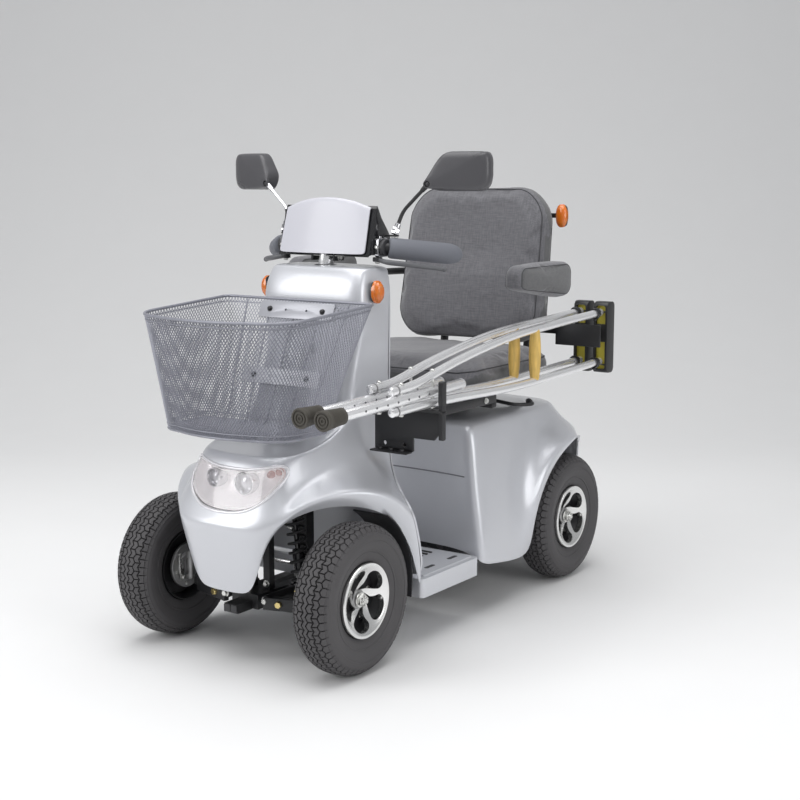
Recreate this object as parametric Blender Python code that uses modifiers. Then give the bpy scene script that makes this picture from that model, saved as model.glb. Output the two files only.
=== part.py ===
"""Four-wheeled mobility scooter with a front basket and two carried underarm crutches.

Frame: metres, +Z up, ground at Z = 0, front along -Y, rider's left along +X.
The origin is on the ground, midway along the overall length, on the symmetry plane.
"""
from math import cos, pi, radians, sin, sqrt

import bmesh
import bpy
from mathutils import Matrix, Vector

# ---------------------------------------------------------------- driving dimensions
GAP = 0.0006                # clearance left between pieces that touch
SHELL = 0.004               # moulded body shell thickness
TYRE_R = 0.150              # 4.10/3.50-5 tyre
TYRE_HALF_WIDTH = 0.043
RIM_R = 0.075
RIM_HALF_WIDTH = 0.032
AXLE_R = 0.008
BORE_R = 0.0085
TRACK_HALF = 0.231
FRONT_AXLE_Y = -0.4205
REAR_AXLE_Y = 0.4205
FRONT_ARCH_R = 0.180
REAR_ARCH_R = 0.200
KINGPIN_X = 0.192
ARM_PIVOT = Vector((0.052, FRONT_AXLE_Y, 0.125))
ROUND_STEPS = 32            # divisions of the tyres
RIM_STEPS = 20              # divisions of the rims
SMALL_STEPS = 12            # divisions of the small round bars

STEM_TOP = Vector((0.0, -0.186, 0.826))
STEM_FOOT = Vector((0.0, -0.272, 0.338))
STEM_R = 0.0125
STEM_TUBE_R = 0.020
STEM_TUBE_BORE = 0.0145
BAR_BEND = Vector((0.136, -0.168, 0.815))
GRIP_END = Vector((0.247, -0.052, 0.798))
GRIP_START = BAR_BEND.lerp(GRIP_END, 0.15)
BAR_R = 0.0108
GRIP_R = 0.0215
MIRROR_FOOT = Vector((0.145, -0.150, 0.8450))
MIRROR_ELBOW = Vector((0.1525, -0.131, 0.889))
MIRROR_NECK = Vector((0.212, -0.128, 0.944))
MIRROR_CENTRE = Vector((0.271, -0.100, 0.970))
MIRROR_SIZE = (0.130, 0.036, 0.080)
MIRROR_YAW = radians(11.5)
BASKET_BOW = 0.018          # how far the front of the basket bows out

FLOOR_TOP = 0.149
FLOOR_BOTTOM = 0.106
RAIL_Z = 0.088
RAIL_HALF = 0.0125
RAIL_X = 0.095

SEAT_AXIS_Y = 0.225
SEAT_HALF = 0.230
CUSHION_Y = (0.002, 0.400)
CUSHION_Z = (0.476, 0.562)
BACK_TILT = radians(7)
ARM_PIVOT_Y = 0.262
ARM_PIVOT_Z = 0.722

CRUTCH_INNER = ((0.2370, -0.560), (0.2655, 0.470))   # plan line of the inner crutch
CRUTCH_SPACING = 0.052
CRUTCH_BOW_R = 0.0095
CRUTCH_LEG_R = 0.0110

# ---------------------------------------------------------------- scene and helpers
for old in list(bpy.data.objects):
    bpy.data.objects.remove(old, do_unlink=True)
PARTS = bpy.data.collections.new("mobility_scooter")
CUTTERS = bpy.data.collections.new("cutters")
bpy.context.scene.collection.children.link(PARTS)
bpy.context.scene.collection.children.link(CUTTERS)


def material(name, colour, metallic, roughness):
    """A plain Principled material."""
    made = bpy.data.materials.new(name)
    made.use_nodes = True
    shader = made.node_tree.nodes["Principled BSDF"]
    shader.inputs["Base Color"].default_value = (*colour, 1.0)
    shader.inputs["Metallic"].default_value = metallic
    shader.inputs["Roughness"].default_value = roughness
    made.diffuse_color = (*colour, 1.0)
    return made


LOOKS = {
    "silver_paint": ((0.66, 0.67, 0.70), 0.7, 0.3),
    "black_metal": ((0.03, 0.03, 0.03), 0.5, 0.45),
    "black_plastic": ((0.04, 0.04, 0.045), 0.0, 0.5),
    "grey_plastic": ((0.55, 0.56, 0.60), 0.0, 0.25),
    "dark_grey_plastic": ((0.13, 0.13, 0.14), 0.0, 0.4),
    "grip_foam": ((0.32, 0.33, 0.36), 0.0, 0.7),
    "tyre_rubber": ((0.03, 0.03, 0.03), 0.0, 0.8),
    "cast_alloy": ((0.80, 0.80, 0.79), 0.9, 0.3),
    "bright_tube": ((0.80, 0.81, 0.82), 0.9, 0.25),
    "basket_grey": ((0.28, 0.29, 0.32), 0.4, 0.45),
    "seat_fabric": ((0.16, 0.16, 0.18), 0.0, 0.9),
    "lens_clear": ((0.85, 0.83, 0.84), 0.0, 0.1),
    "lens_amber": ((0.80, 0.27, 0.04), 0.0, 0.2),
    "mirror_glass": ((0.80, 0.82, 0.85), 1.0, 0.05),
    "pad_vinyl": ((0.05, 0.05, 0.05), 0.0, 0.5),
}


def mesh_object(name, mesh, collection=PARTS):
    """A new object around a mesh, in the parts or the cutters collection."""
    made = bpy.data.objects.new(name, mesh)
    collection.objects.link(made)
    if collection is CUTTERS:
        made.hide_render = True
        made.display_type = "WIRE"
    return made


def from_bmesh(name, bm, collection=PARTS):
    """Turn a bmesh into an object."""
    mesh = bpy.data.meshes.new(name)
    bm.to_mesh(mesh)
    bm.free()
    return mesh_object(name, mesh, collection)


def frozen(made):
    """Replace an object's modifiers or curve by the mesh they evaluate to, in world space."""
    graph = bpy.context.evaluated_depsgraph_get()
    graph.update()
    mesh = bpy.data.meshes.new_from_object(made.evaluated_get(graph))
    mesh.transform(made.matrix_world)
    bm = bmesh.new()
    bm.from_mesh(mesh)
    bmesh.ops.remove_doubles(bm, verts=bm.verts, dist=0.00001)
    bm.to_mesh(mesh)
    bm.free()
    collection = made.users_collection[0]
    name = made.name
    bpy.data.objects.remove(made, do_unlink=True)
    return mesh_object(name, mesh, collection)


def finished(made, look, origin=None):
    """Give a piece its own material, smooth shading and, where it moves, its pivot as origin."""
    colour, metallic, roughness = LOOKS[look]
    made.data.materials.clear()
    made.data.materials.append(material(f"{made.name}_{look}", colour, metallic, roughness))
    made.data.shade_smooth()
    made.data.set_sharp_from_angle(angle=radians(35))
    if origin is not None:
        bpy.context.view_layer.update()
        made.data.transform(Matrix.Translation(-Vector(origin)) @ made.matrix_world)
        made.matrix_world = Matrix.Translation(Vector(origin))
    return made


def box(name, low, high, bevel=0.0, segments=1, collection=PARTS):
    """A box between two corners, its edges bevelled."""
    low, high = Vector(low), Vector(high)
    bm = bmesh.new()
    bmesh.ops.create_cube(bm, size=1.0)
    bmesh.ops.scale(bm, vec=high - low, verts=bm.verts)
    bmesh.ops.translate(bm, vec=(low + high) / 2, verts=bm.verts)
    made = from_bmesh(name, bm, collection)
    if bevel:
        rounding = made.modifiers.new("rounded", "BEVEL")
        rounding.width = bevel
        rounding.segments = segments
        rounding.limit_method = "ANGLE"
    return made


def bar(name, start, end, radius, end_radius=None, steps=SMALL_STEPS, collection=PARTS):
    """A round bar, or a cone, between two points."""
    start, end = Vector(start), Vector(end)
    run = end - start
    bm = bmesh.new()
    bmesh.ops.create_cone(bm, cap_ends=True, segments=steps, radius1=radius,
                          radius2=radius if end_radius is None else end_radius,
                          depth=run.length)
    turn = Vector((0, 0, 1)).rotation_difference(run.normalized()).to_matrix().to_4x4()
    bm.transform(Matrix.Translation((start + end) / 2) @ turn)
    return from_bmesh(name, bm, collection)


def tube(name, points, radius, resolution=2, square=False, cyclic=False, collection=PARTS):
    """A bent tube along a poly spline, as a mesh with welded caps."""
    curve = bpy.data.curves.new(name, "CURVE")
    curve.dimensions = "3D"
    curve.bevel_depth = radius
    curve.bevel_resolution = 0 if square else resolution
    curve.use_fill_caps = not cyclic
    spline = curve.splines.new("POLY")
    spline.points.add(len(points) - 1)
    for knot, point in zip(spline.points, points):
        knot.co = (*point, 1.0)
        knot.tilt = pi / 4 if square else 0.0
    spline.use_cyclic_u = cyclic
    return frozen(mesh_object(name, curve, collection))


def rounded_path(corners, radius, steps=4):
    """Points along a polyline whose inner corners are turned by short arcs."""
    corners = [Vector(corner) for corner in corners]
    path = [corners[0]]
    for before, corner, after in zip(corners, corners[1:], corners[2:]):
        back = (before - corner).normalized()
        ahead = (after - corner).normalized()
        reach = min(radius, (before - corner).length / 2, (after - corner).length / 2)
        for step in range(steps + 1):
            t = step / steps
            path.append(corner + back * reach * (1 - t) ** 2 + ahead * reach * t ** 2)
    return path + [corners[-1]]


def turned(name, profile, steps=ROUND_STEPS, closed=True, collection=PARTS):
    """A turned shape about Z from (radius, height) points that run down the outer side."""
    bm = bmesh.new()
    knots = [bm.verts.new((radius, 0.0, height)) for radius, height in profile]
    pairs = list(zip(knots, knots[1:]))
    if closed:
        pairs.append((knots[-1], knots[0]))
    for first, second in pairs:
        bm.edges.new((first, second))
    made = from_bmesh(name, bm, collection)
    screw = made.modifiers.new("turned", "SCREW")
    screw.steps = steps
    screw.render_steps = steps
    screw.use_merge_vertices = True
    screw.merge_threshold = 0.00005
    return frozen(made)


def plate(name, outline, thickness, normal_axis, offset, collection=PARTS):
    """A flat plate: an outline in the plane across an axis, extruded about the offset."""
    curve = bpy.data.curves.new(name, "CURVE")
    curve.dimensions = "2D"
    curve.fill_mode = "BOTH"
    curve.extrude = thickness / 2
    spline = curve.splines.new("POLY")
    spline.points.add(len(outline) - 1)
    for knot, (across, up) in zip(spline.points, outline):
        knot.co = (across, up, 0.0, 1.0)
    spline.use_cyclic_u = True
    made = mesh_object(name, curve, collection)
    turns = {
        "X": Matrix(((0, 0, 1, offset), (1, 0, 0, 0), (0, 1, 0, 0), (0, 0, 0, 1))),
        "Y": Matrix(((1, 0, 0, 0), (0, 0, -1, offset), (0, 1, 0, 0), (0, 0, 0, 1))),
        "Z": Matrix(((1, 0, 0, 0), (0, 1, 0, 0), (0, 0, 1, offset), (0, 0, 0, 1))),
    }
    made.matrix_world = turns[normal_axis]
    bpy.context.view_layer.update()
    return frozen(made)


def combined(base, others, operation="UNION"):
    """Join pieces to a base, or cut them from it, and drop them."""
    for other in others:
        boolean = base.modifiers.new(operation.lower(), "BOOLEAN")
        boolean.operation = operation
        boolean.solver = "EXACT"
        boolean.object = other
    made = frozen(base)
    for other in others:
        bpy.data.objects.remove(other, do_unlink=True)
    return made


def cut(base, others):
    """Cut pieces away from a base."""
    return combined(base, others, "DIFFERENCE")


def mirrored_copy(source, name):
    """A copy of a finished piece reflected across the symmetry plane."""
    mesh = source.data.copy()
    bpy.context.view_layer.update()
    mesh.transform(Matrix.Diagonal((-1, 1, 1, 1)) @ source.matrix_world)
    mesh.flip_normals()
    made = mesh_object(name, mesh)
    where = source.matrix_world.translation.copy()
    where.x = -where.x
    mesh.transform(Matrix.Translation(-where))
    made.matrix_world = Matrix.Translation(where)
    mesh.materials.clear()
    look = source.data.materials[0]
    copied = look.copy()
    copied.name = look.name.replace(source.name, name)
    mesh.materials.append(copied)
    return made


def moulding(name, columns, thickness=SHELL, outward=False, half=True):
    """A shell over a grid of points: each column runs from the top edge down to the lip."""
    bm = bmesh.new()
    grid = [[bm.verts.new(point) for point in column] for column in columns]
    for left, right in zip(grid, grid[1:]):
        for top_left, low_left, low_right, top_right in zip(left, left[1:], right[1:], right):
            bm.faces.new((top_left, low_left, low_right, top_right))
    bmesh.ops.remove_doubles(bm, verts=bm.verts, dist=0.00001)
    made = from_bmesh(name, bm)
    if half:
        other_half = made.modifiers.new("other_half", "MIRROR")
        other_half.merge_threshold = 0.00005
        other_half.use_clip = True
    wall = made.modifiers.new("wall", "SOLIDIFY")
    wall.thickness = thickness
    wall.offset = 1.0 if outward else -1.0
    wall.use_even_offset = False
    return made


def arc_points(centre, radius, start, end, steps):
    """Points on an arc in a plane, angles in degrees."""
    turns = [radians(start + (end - start) * step / steps) for step in range(steps + 1)]
    return [(centre[0] + radius * cos(turn), centre[1] + radius * sin(turn)) for turn in turns]


def rounded_slab(name, low, high, corner, bevel, segments=1, axis="Z"):
    """A slab with rounded corners in plan and softened edges."""
    low, high = Vector(low), Vector(high)
    axes = {"Z": (0, 1, 2), "Y": (0, 2, 1), "X": (1, 2, 0)}[axis]
    a0, a1, b0, b1 = low[axes[0]], high[axes[0]], low[axes[1]], high[axes[1]]
    outline = []
    for (ca, cb), start in (((a1 - corner, b0 + corner), -90), ((a1 - corner, b1 - corner), 0),
                            ((a0 + corner, b1 - corner), 90), ((a0 + corner, b0 + corner), 180)):
        outline += arc_points((ca, cb), corner, start, start + 90, 3)
    thickness = high[axes[2]] - low[axes[2]]
    made = plate(name, outline, thickness, axis, (low[axes[2]] + high[axes[2]]) / 2)
    if bevel:
        rounding = made.modifiers.new("softened", "BEVEL")
        rounding.width = bevel
        rounding.segments = segments
        rounding.limit_method = "ANGLE"
        rounding.angle_limit = radians(50)
        made = frozen(made)
    return made


# ---------------------------------------------------------------- front body shell
def column_section(yf, front_half, z):
    """One horizontal section of the steering column cover, front centre to rear edge."""
    rear_half, yr = 0.134, -0.160
    share = (0.0, 0.38, 0.72, 0.92, 0.99)
    back = (0.0, 0.0, 0.001, 0.005, 0.014)
    points = [(front_half * s, yf + b, z) for s, b in zip(share, back)]
    for t in (0.20, 0.32, 0.46, 0.62, 0.78, 0.91, 1.0):
        points.append((front_half + (rear_half - front_half) * t, yf + 0.014 + (yr - yf - 0.014) * t, z))
    return points


def front_cowl_columns():
    """Columns of the nose, fender and column cover, from the front centre to the rear edge."""
    pole = (0.0, -0.150, 0.778)
    rings = [[pole] * 12]
    inner = [(0.0, -0.216), (0.04, -0.216), (0.074, -0.215), (0.094, -0.212), (0.102, -0.206),
             (0.105, -0.199), (0.106, -0.192), (0.107, -0.185), (0.108, -0.177), (0.109, -0.168),
             (0.109, -0.159), (0.105, -0.150)]
    rings.append([(x, y, 0.778) for x, y in inner])
    rings.append(column_section(-0.229, 0.116, 0.770))
    rings.append(column_section(-0.231, 0.117, 0.755))
    rings.append(column_section(-0.246, 0.118, 0.660))
    below = [
        # nose centre
        [(0, -.262, .57), (0, -.285, .445), (0, -.462, .416), (0, -.483, .421), (0, -.495, .409),
         (0, -.516, .36), (0, -.537, .315), (0, -.556, .292), (0, -.551, .272), (0, -.541, .21),
         (0, -.530, .152)],
        [(.045, -.262, .57), (.045, -.285, .445), (.045, -.460, .416), (.046, -.481, .421),
         (.047, -.493, .409), (.048, -.514, .36), (.050, -.535, .315), (.050, -.554, .292),
         (.048, -.550, .272), (.044, -.540, .21), (.040, -.530, .153)],
        [(.084, -.262, .57), (.084, -.286, .446), (.082, -.450, .417), (.086, -.471, .422),
         (.089, -.487, .410), (.094, -.509, .362), (.098, -.529, .318), (.096, -.545, .295),
         (.090, -.545, .274), (.078, -.538, .212), (.067, -.528, .158)],
        # nose corner and the side of the beak
        [(.108, -.258, .57), (.106, -.292, .452), (.104, -.438, .418), (.109, -.454, .424),
         (.113, -.466, .411), (.118, -.490, .368), (.123, -.512, .328), (.119, -.533, .301),
         (.112, -.532, .282), (.100, -.532, .245), (.088, -.530, .208)],
        [(.116, -.249, .57), (.115, -.285, .466), (.113, -.392, .424), (.121, -.404, .431),
         (.126, -.417, .419), (.131, -.446, .382), (.137, -.480, .350), (.137, -.508, .321),
         (.132, -.517, .304), (.120, -.523, .286), (.107, -.527, .266)],
        # side of the nose, then the fender over the wheel
        [(.119, -.238, .575), (.118, -.270, .500), (.118, -.335, .440), (.126, -.345, .446),
         (.131, -.359, .431), (.138, -.396, .396), (.147, -.438, .367), (.160, -.488, .340),
         (.158, -.494, .327), (.146, -.502, .315), (.131, -.508, .303)],
        [(.121, -.226, .58), (.122, -.252, .525), (.122, -.298, .468), (.128, -.305, .468),
         (.133, -.312, .450), (.141, -.345, .408), (.158, -.392, .376), (.186, -.446, .356),
         (.185, -.450, .346), (.177, -.456, .336), (.166, -.462, .325)],
        [(.124, -.212, .58), (.125, -.230, .53), (.127, -.258, .488), (.129, -.264, .470),
         (.134, -.272, .444), (.144, -.304, .405), (.170, -.350, .376), (.218, -.396, .362),
         (.218, -.398, .352), (.213, -.400, .341), (.205, -.402, .329)],
        [(.128, -.197, .58), (.129, -.208, .53), (.130, -.225, .488), (.132, -.230, .462),
         (.136, -.238, .432), (.148, -.262, .396), (.184, -.306, .369), (.246, -.346, .352),
         (.248, -.346, .342), (.245, -.345, .328), (.239, -.343, .312)],
        [(.131, -.181, .58), (.132, -.187, .53), (.132, -.197, .488), (.134, -.201, .458),
         (.138, -.208, .424), (.152, -.226, .386), (.194, -.270, .360), (.261, -.308, .335),
         (.264, -.304, .322), (.262, -.298, .304), (.254, -.291, .276)],
        [(.133, -.168, .58), (.1335, -.171, .53), (.134, -.176, .488), (.135, -.178, .456),
         (.140, -.184, .414), (.155, -.200, .376), (.200, -.246, .348), (.268, -.286, .314),
         (.270, -.278, .294), (.268, -.262, .250), (.261, -.251, .206)],
        [(.134, -.160, .58), (.134, -.160, .53), (.134, -.160, .488), (.135, -.161, .455),
         (.139, -.165, .408), (.153, -.180, .368), (.201, -.230, .338), (.270, -.279, .306),
         (.2715, -.264, .280), (.2705, -.239, .200), (.2665, -.232, .112)],
    ]
    return [[ring[index] for ring in rings] + below[index] for index in range(12)]


def headlight_outline(grow):
    """Front view of the crescent headlight, (across, up), grown all round by a margin."""
    half, top, bottom = 0.112 + grow, 0.391 + grow, 0.318 - grow
    points = []
    for step in range(-6, 7):
        share = step / 6
        points.append((half * share, top + 0.016 * share * share))
    for step in range(1, 12):
        turn = pi * step / 12
        points.append((half * cos(turn), top + 0.006 + (bottom - top - 0.006) * sin(turn) ** 0.8))
    return points


def make_front_shell():
    """The silver nose, its headlight lens and reflector."""
    cowl = frozen(moulding("front_cowl", front_cowl_columns()))
    glass = frozen(moulding("headlight_lens", front_cowl_columns()))
    hole = plate("lamp_hole", headlight_outline(0.0), 0.14, "Y", -0.50, CUTTERS)
    stem_hole = bar("stem_hole", STEM_TOP, STEM_FOOT, 0.024, collection=CUTTERS)
    cowl = cut(cowl, [hole, stem_hole])
    keep = plate("lamp_keep", headlight_outline(-GAP * 1.5), 0.14, "Y", -0.50, CUTTERS)
    glass = combined(glass, [keep], "INTERSECT")
    finished(cowl, "silver_paint")
    finished(glass, "lens_clear")
    bowl = box("headlight_reflector", (-0.082, -0.474, 0.338), (0.082, -0.430, 0.396), 0.008, 2)
    finished(bowl, "grey_plastic")


def make_leg_shield():
    """Rear-facing panel that closes the nose towards the rider's legs."""
    edge = [(.133, -.1545, .770), (.134, -.1580, .66), (.134, -.159, .53), (.135, -.160, .455),
            (.139, -.164, .408), (.153, -.179, .368), (.201, -.229, .338), (.270, -.278, .306),
            (.2715, -.263, .280), (.2705, -.238, .200), (.2685, -.234, .151)]
    centre_y = (-.149, -.149, -.152, -.156, -.160, -.164, -.168, -.173, -.177, -.188, -.200)
    columns = []
    for share, follow in ((0.0, 0.0), (0.42, 0.04), (0.76, 0.35), (1.0, 1.0)):
        column = []
        for (x, y, z), middle in zip(edge, centre_y):
            top = 0.777 if z == 0.770 and share < 1.0 else z
            column.append((x * share, middle + (y + 0.0008 - middle) * follow, top))
        columns.append(column)
    columns.reverse()
    shield = frozen(moulding("leg_shield", columns))
    shift = Matrix.Translation((0, SHELL + 3 * GAP, 0))
    shield.data.transform(shift)
    return finished(shield, "silver_paint")


# ---------------------------------------------------------------- rear body shell
def rear_lip(turn, x):
    """A point of the rear wheel arch, by its angle up from the front of the wheel."""
    return (x, REAR_AXLE_Y - REAR_ARCH_R * cos(radians(turn)),
            TYRE_R + REAR_ARCH_R * sin(radians(turn)))


def rear_cowl_columns():
    """Columns of the seat pedestal and rear fenders, from the front centre to the tail centre."""
    pole = (0.0, 0.225, 0.432)
    columns = [
        [(0, .050, .428), (0, .040, .416), (0, .036, .36), (0, .032, .30), (0, .027, .24),
         (0, .021, .175), (0, .020, .151)],
        [(.10, .048, .428), (.105, .037, .416), (.108, .033, .36), (.110, .029, .30),
         (.114, .024, .24), (.118, .018, .175), (.118, .017, .151)],
        [(.18, .040, .428), (.190, .029, .416), (.200, .023, .36), (.206, .019, .30),
         (.216, .014, .24), (.228, .009, .175), (.230, .008, .151)],
        [(.206, .034, .429), (.221, .018, .417), (.234, .007, .37), (.242, .003, .30),
         (.255, .001, .235), (.268, -.001, .165), (.271, -.001, .128)],
        [(.212, .060, .430), (.228, .054, .418), (.241, .046, .37), (.249, .042, .30),
         (.260, .040, .232), (.271, .038, .155), (.272, .038, .121)],
        [(.213, .115, .431), (.228, .112, .419), (.240, .105, .37), (.248, .100, .30),
         (.259, .098, .226), (.269, .098, .148), (.270, .098, .112)],
        [(.212, .180, .431), (.225, .176, .419), (.233, .166, .37), (.240, .156, .30),
         (.251, .152, .222), (.264, .152, .142), (.266, .152, .104)],
        [(.210, .245, .431), (.222, .238, .419), (.229, .222, .375), (.241, .200, .305),
         (.262, .190, .222), (.272, .192, .142), rear_lip(-14, .262)],
        [(.208, .290, .431), (.220, .284, .419), (.227, .268, .382), (.246, .236, .325),
         (.276, .214, .250), (.281, .212, .190), rear_lip(8, .274)],
        [(.206, .330, .431), (.218, .325, .419), (.226, .314, .388), (.250, .282, .350),
         (.284, .246, .302), (.288, .240, .272), rear_lip(32, .281)],
        [(.203, .368, .430), (.215, .365, .418), (.225, .360, .390), (.254, .342, .368),
         (.291, .312, .345), (.295, .306, .332), rear_lip(57, .288)],
        [(.198, .405, .429), (.210, .406, .416), (.224, .408, .390), (.256, .404, .375),
         (.297, .392, .366), (.302, .390, .357), rear_lip(82, .296)],
        [(.186, .438, .428), (.198, .445, .414), (.218, .452, .384), (.250, .456, .367),
         (.283, .453, .357), (.288, .451, .348), rear_lip(99, .283)],
        [(.164, .462, .427), (.174, .474, .412), (.194, .492, .378), (.223, .503, .357),
         (.250, .500, .343), (.255, .499, .332), rear_lip(115, .250)],
        [(.130, .476, .426), (.136, .490, .411), (.154, .517, .372), (.184, .544, .346),
         (.209, .552, .320), (.214, .556, .296), (.210, .563, .262)],
        [(.090, .484, .426), (.094, .498, .410), (.112, .530, .370), (.132, .570, .342),
         (.158, .585, .303), (.164, .590, .230), (.161, .588, .165)],
        [(.045, .487, .426), (.047, .501, .410), (.056, .536, .369), (.075, .580, .343),
         (.095, .598, .304), (.098, .602, .230), (.096, .600, .162)],
        [(0, .488, .426), (0, .502, .410), (0, .537, .368), (0, .582, .343), (0, .599, .304),
         (0, .603, .230), (0, .601, .162)],
    ]
    for column in columns:
        x, y, z = column[0]
        half_way = (x * 0.55, pole[1] + (y - pole[1]) * 0.55, 0.432)
        column[:0] = [pole, half_way]
    return columns


def make_rear_shell():
    """Seat pedestal with the rear fenders; its top takes the seat post."""
    cowl = frozen(moulding("rear_cowl", rear_cowl_columns()))
    notch = box("post_notch", (-0.056, -0.05, 0.357), (0.056, 0.115, 0.5), collection=CUTTERS)
    post_hole = bar("post_hole", (0, SEAT_AXIS_Y, 0.40), (0, SEAT_AXIS_Y, 0.46), 0.034,
                    collection=CUTTERS)
    cowl = cut(cowl, [notch, post_hole])
    finished(cowl, "silver_paint")


def make_footboard():
    """Flat floor between the two shells."""
    board = rounded_slab("footboard", (-0.267, -0.2265, FLOOR_BOTTOM), (0.267, -0.006, FLOOR_TOP),
                         0.012, 0.006)
    return finished(board, "silver_paint")


def make_mudguards():
    """Black liners behind the front wheels, inside the fenders."""
    centre = (FRONT_AXLE_Y, TYRE_R)
    outer = arc_points(centre, 0.1755, -12, 60, 9)
    inner = arc_points(centre, 0.1725, 60, -12, 9)
    guard = plate("front_mudguard_left", outer + inner, 0.085, "X", 0.2125)
    finished(guard, "black_plastic")
    mirrored_copy(guard, "front_mudguard_right")


# ---------------------------------------------------------------- chassis and drive
def make_chassis():
    """Welded frame of square tube with the steering tube, shock tower and seat post socket."""
    def square_bar(name, start, end, half=RAIL_HALF):
        return tube(name, [start, end], half * sqrt(2), square=True)

    frame = square_bar("chassis_frame", (RAIL_X, -0.305, RAIL_Z), (RAIL_X, 0.53, RAIL_Z))
    pieces = [square_bar("rail", (-RAIL_X, -0.305, RAIL_Z), (-RAIL_X, 0.53, RAIL_Z))]
    for y in (-0.29, -0.02, 0.13, 0.30, 0.515):
        pieces.append(square_bar("cross", (-RAIL_X - 0.005, y, RAIL_Z), (RAIL_X + 0.005, y, RAIL_Z),
                                 0.011))
    for side in (-1, 1):
        pieces.append(square_bar("nose_tube", (side * 0.0088, -0.512, 0.112),
                                 (side * 0.0088, -0.285, 0.112), 0.009))
        pieces.append(square_bar("nose_brace", (side * 0.010, -0.45, 0.112),
                                 (side * RAIL_X, -0.30, RAIL_Z), 0.008))
        pieces.append(square_bar("tower_leg", (side * 0.022, -0.4205, 0.112),
                                 (side * 0.022, -0.4205, 0.322), 0.008))
    pieces.append(box("tower_foot", (-0.034, -0.470, 0.104), (0.034, -0.371, 0.134)))
    pieces.append(box("tower_head", (-0.100, -0.4365, 0.312), (0.100, -0.4045, 0.322)))
    pieces.append(square_bar("column_stay", (0, -0.4205, 0.317), (0, -0.285, 0.317), 0.010))
    pieces.append(square_bar("column_leg", (0, -0.2725, RAIL_Z), (0, -0.2725, 0.346), 0.0125))
    pieces.append(bar("steering_tube", STEM_FOOT, STEM_FOOT.lerp(STEM_TOP, 0.86), STEM_TUBE_R, steps=14))
    pieces.append(box("post_base", (-0.05, SEAT_AXIS_Y - 0.05, 0.075), (0.05, SEAT_AXIS_Y + 0.085, 0.100)))
    pieces.append(bar("post_socket", (0, SEAT_AXIS_Y, 0.09), (0, SEAT_AXIS_Y, 0.36), 0.028, steps=14))
    for side in (-1, 1):
        pieces.append(box("tray", (side * 0.128 - 0.07, 0.045, 0.100),
                          (side * 0.128 + 0.07, 0.258, 0.106)))
    frame = combined(frame, pieces)
    run = (STEM_TOP - STEM_FOOT).normalized()
    holes = [bar("stem_bore", STEM_FOOT + run * 0.012, STEM_TOP, STEM_TUBE_BORE, collection=CUTTERS),
             bar("post_bore", (0, SEAT_AXIS_Y, 0.20), (0, SEAT_AXIS_Y, 0.40), 0.0228, steps=20,
                 collection=CUTTERS)]
    return finished(cut(frame, holes), "black_metal")


def make_drive():
    """Transaxle with its motor, and the two batteries under the seat."""
    case = bar("drive_unit", (-0.062, REAR_AXLE_Y, TYRE_R), (0.062, REAR_AXLE_Y, TYRE_R), 0.052, steps=20)
    pieces = [
        bar("axle_tube", (-0.175, REAR_AXLE_Y, TYRE_R), (0.175, REAR_AXLE_Y, TYRE_R), 0.024),
        bar("axle", (-0.262, REAR_AXLE_Y, TYRE_R), (0.262, REAR_AXLE_Y, TYRE_R), AXLE_R),
        bar("motor", (0.0, REAR_AXLE_Y - 0.02, TYRE_R + 0.01),
            (0.0, REAR_AXLE_Y + 0.125, TYRE_R + 0.025), 0.042, steps=18),
        box("mount", (-0.030, REAR_AXLE_Y - 0.012, 0.1015), (0.030, REAR_AXLE_Y + 0.012, 0.14)),
    ]
    for side in (-1, 1):
        pieces.append(bar("brake_drum", (side * 0.172, REAR_AXLE_Y, TYRE_R),
                          (side * 0.186, REAR_AXLE_Y, TYRE_R), 0.050, steps=18))
    finished(combined(case, pieces), "black_metal")
    for side, name in ((1, "battery_left"), (-1, "battery_right")):
        low = (min(side * 0.0585, side * 0.1935), 0.055, 0.1068)
        high = (max(side * 0.0585, side * 0.1935), 0.252, 0.272)
        finished(box(name, low, high, 0.004), "dark_grey_plastic")


# ---------------------------------------------------------------- wheels and suspension
def wheel_profile_tyre():
    """Closed section of the tyre, outer side running down."""
    w, r = TYRE_HALF_WIDTH, TYRE_R
    outer = [(r - 0.031, w * 0.98), (r - 0.014, w * 0.94), (r - 0.004, w * 0.72), (r, w * 0.34),
             (r, -w * 0.34), (r - 0.004, -w * 0.72), (r - 0.014, -w * 0.94), (r - 0.031, -w * 0.98)]
    inner_r = RIM_R + 0.0006
    return [(inner_r, 0.030), (RIM_R + 0.010, w * 0.76)] + outer + [(RIM_R + 0.010, -w * 0.76),
                                                                    (inner_r, -0.030)]


def wheel_profile_rim():
    """Closed section of the rim: barrel, dished web and hub."""
    h = RIM_HALF_WIDTH
    return [(RIM_R - 0.001, h + 0.004), (RIM_R - 0.001, h - 0.004), (RIM_R - 0.007, h - 0.014),
            (RIM_R - 0.001, -h), (RIM_R - 0.012, -h), (RIM_R - 0.013, 0.012), (0.024, 0.000),
            (0.022, -0.022), (BORE_R, -0.022), (BORE_R, 0.014), (0.024, 0.012), (RIM_R - 0.012, 0.026)]


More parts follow.
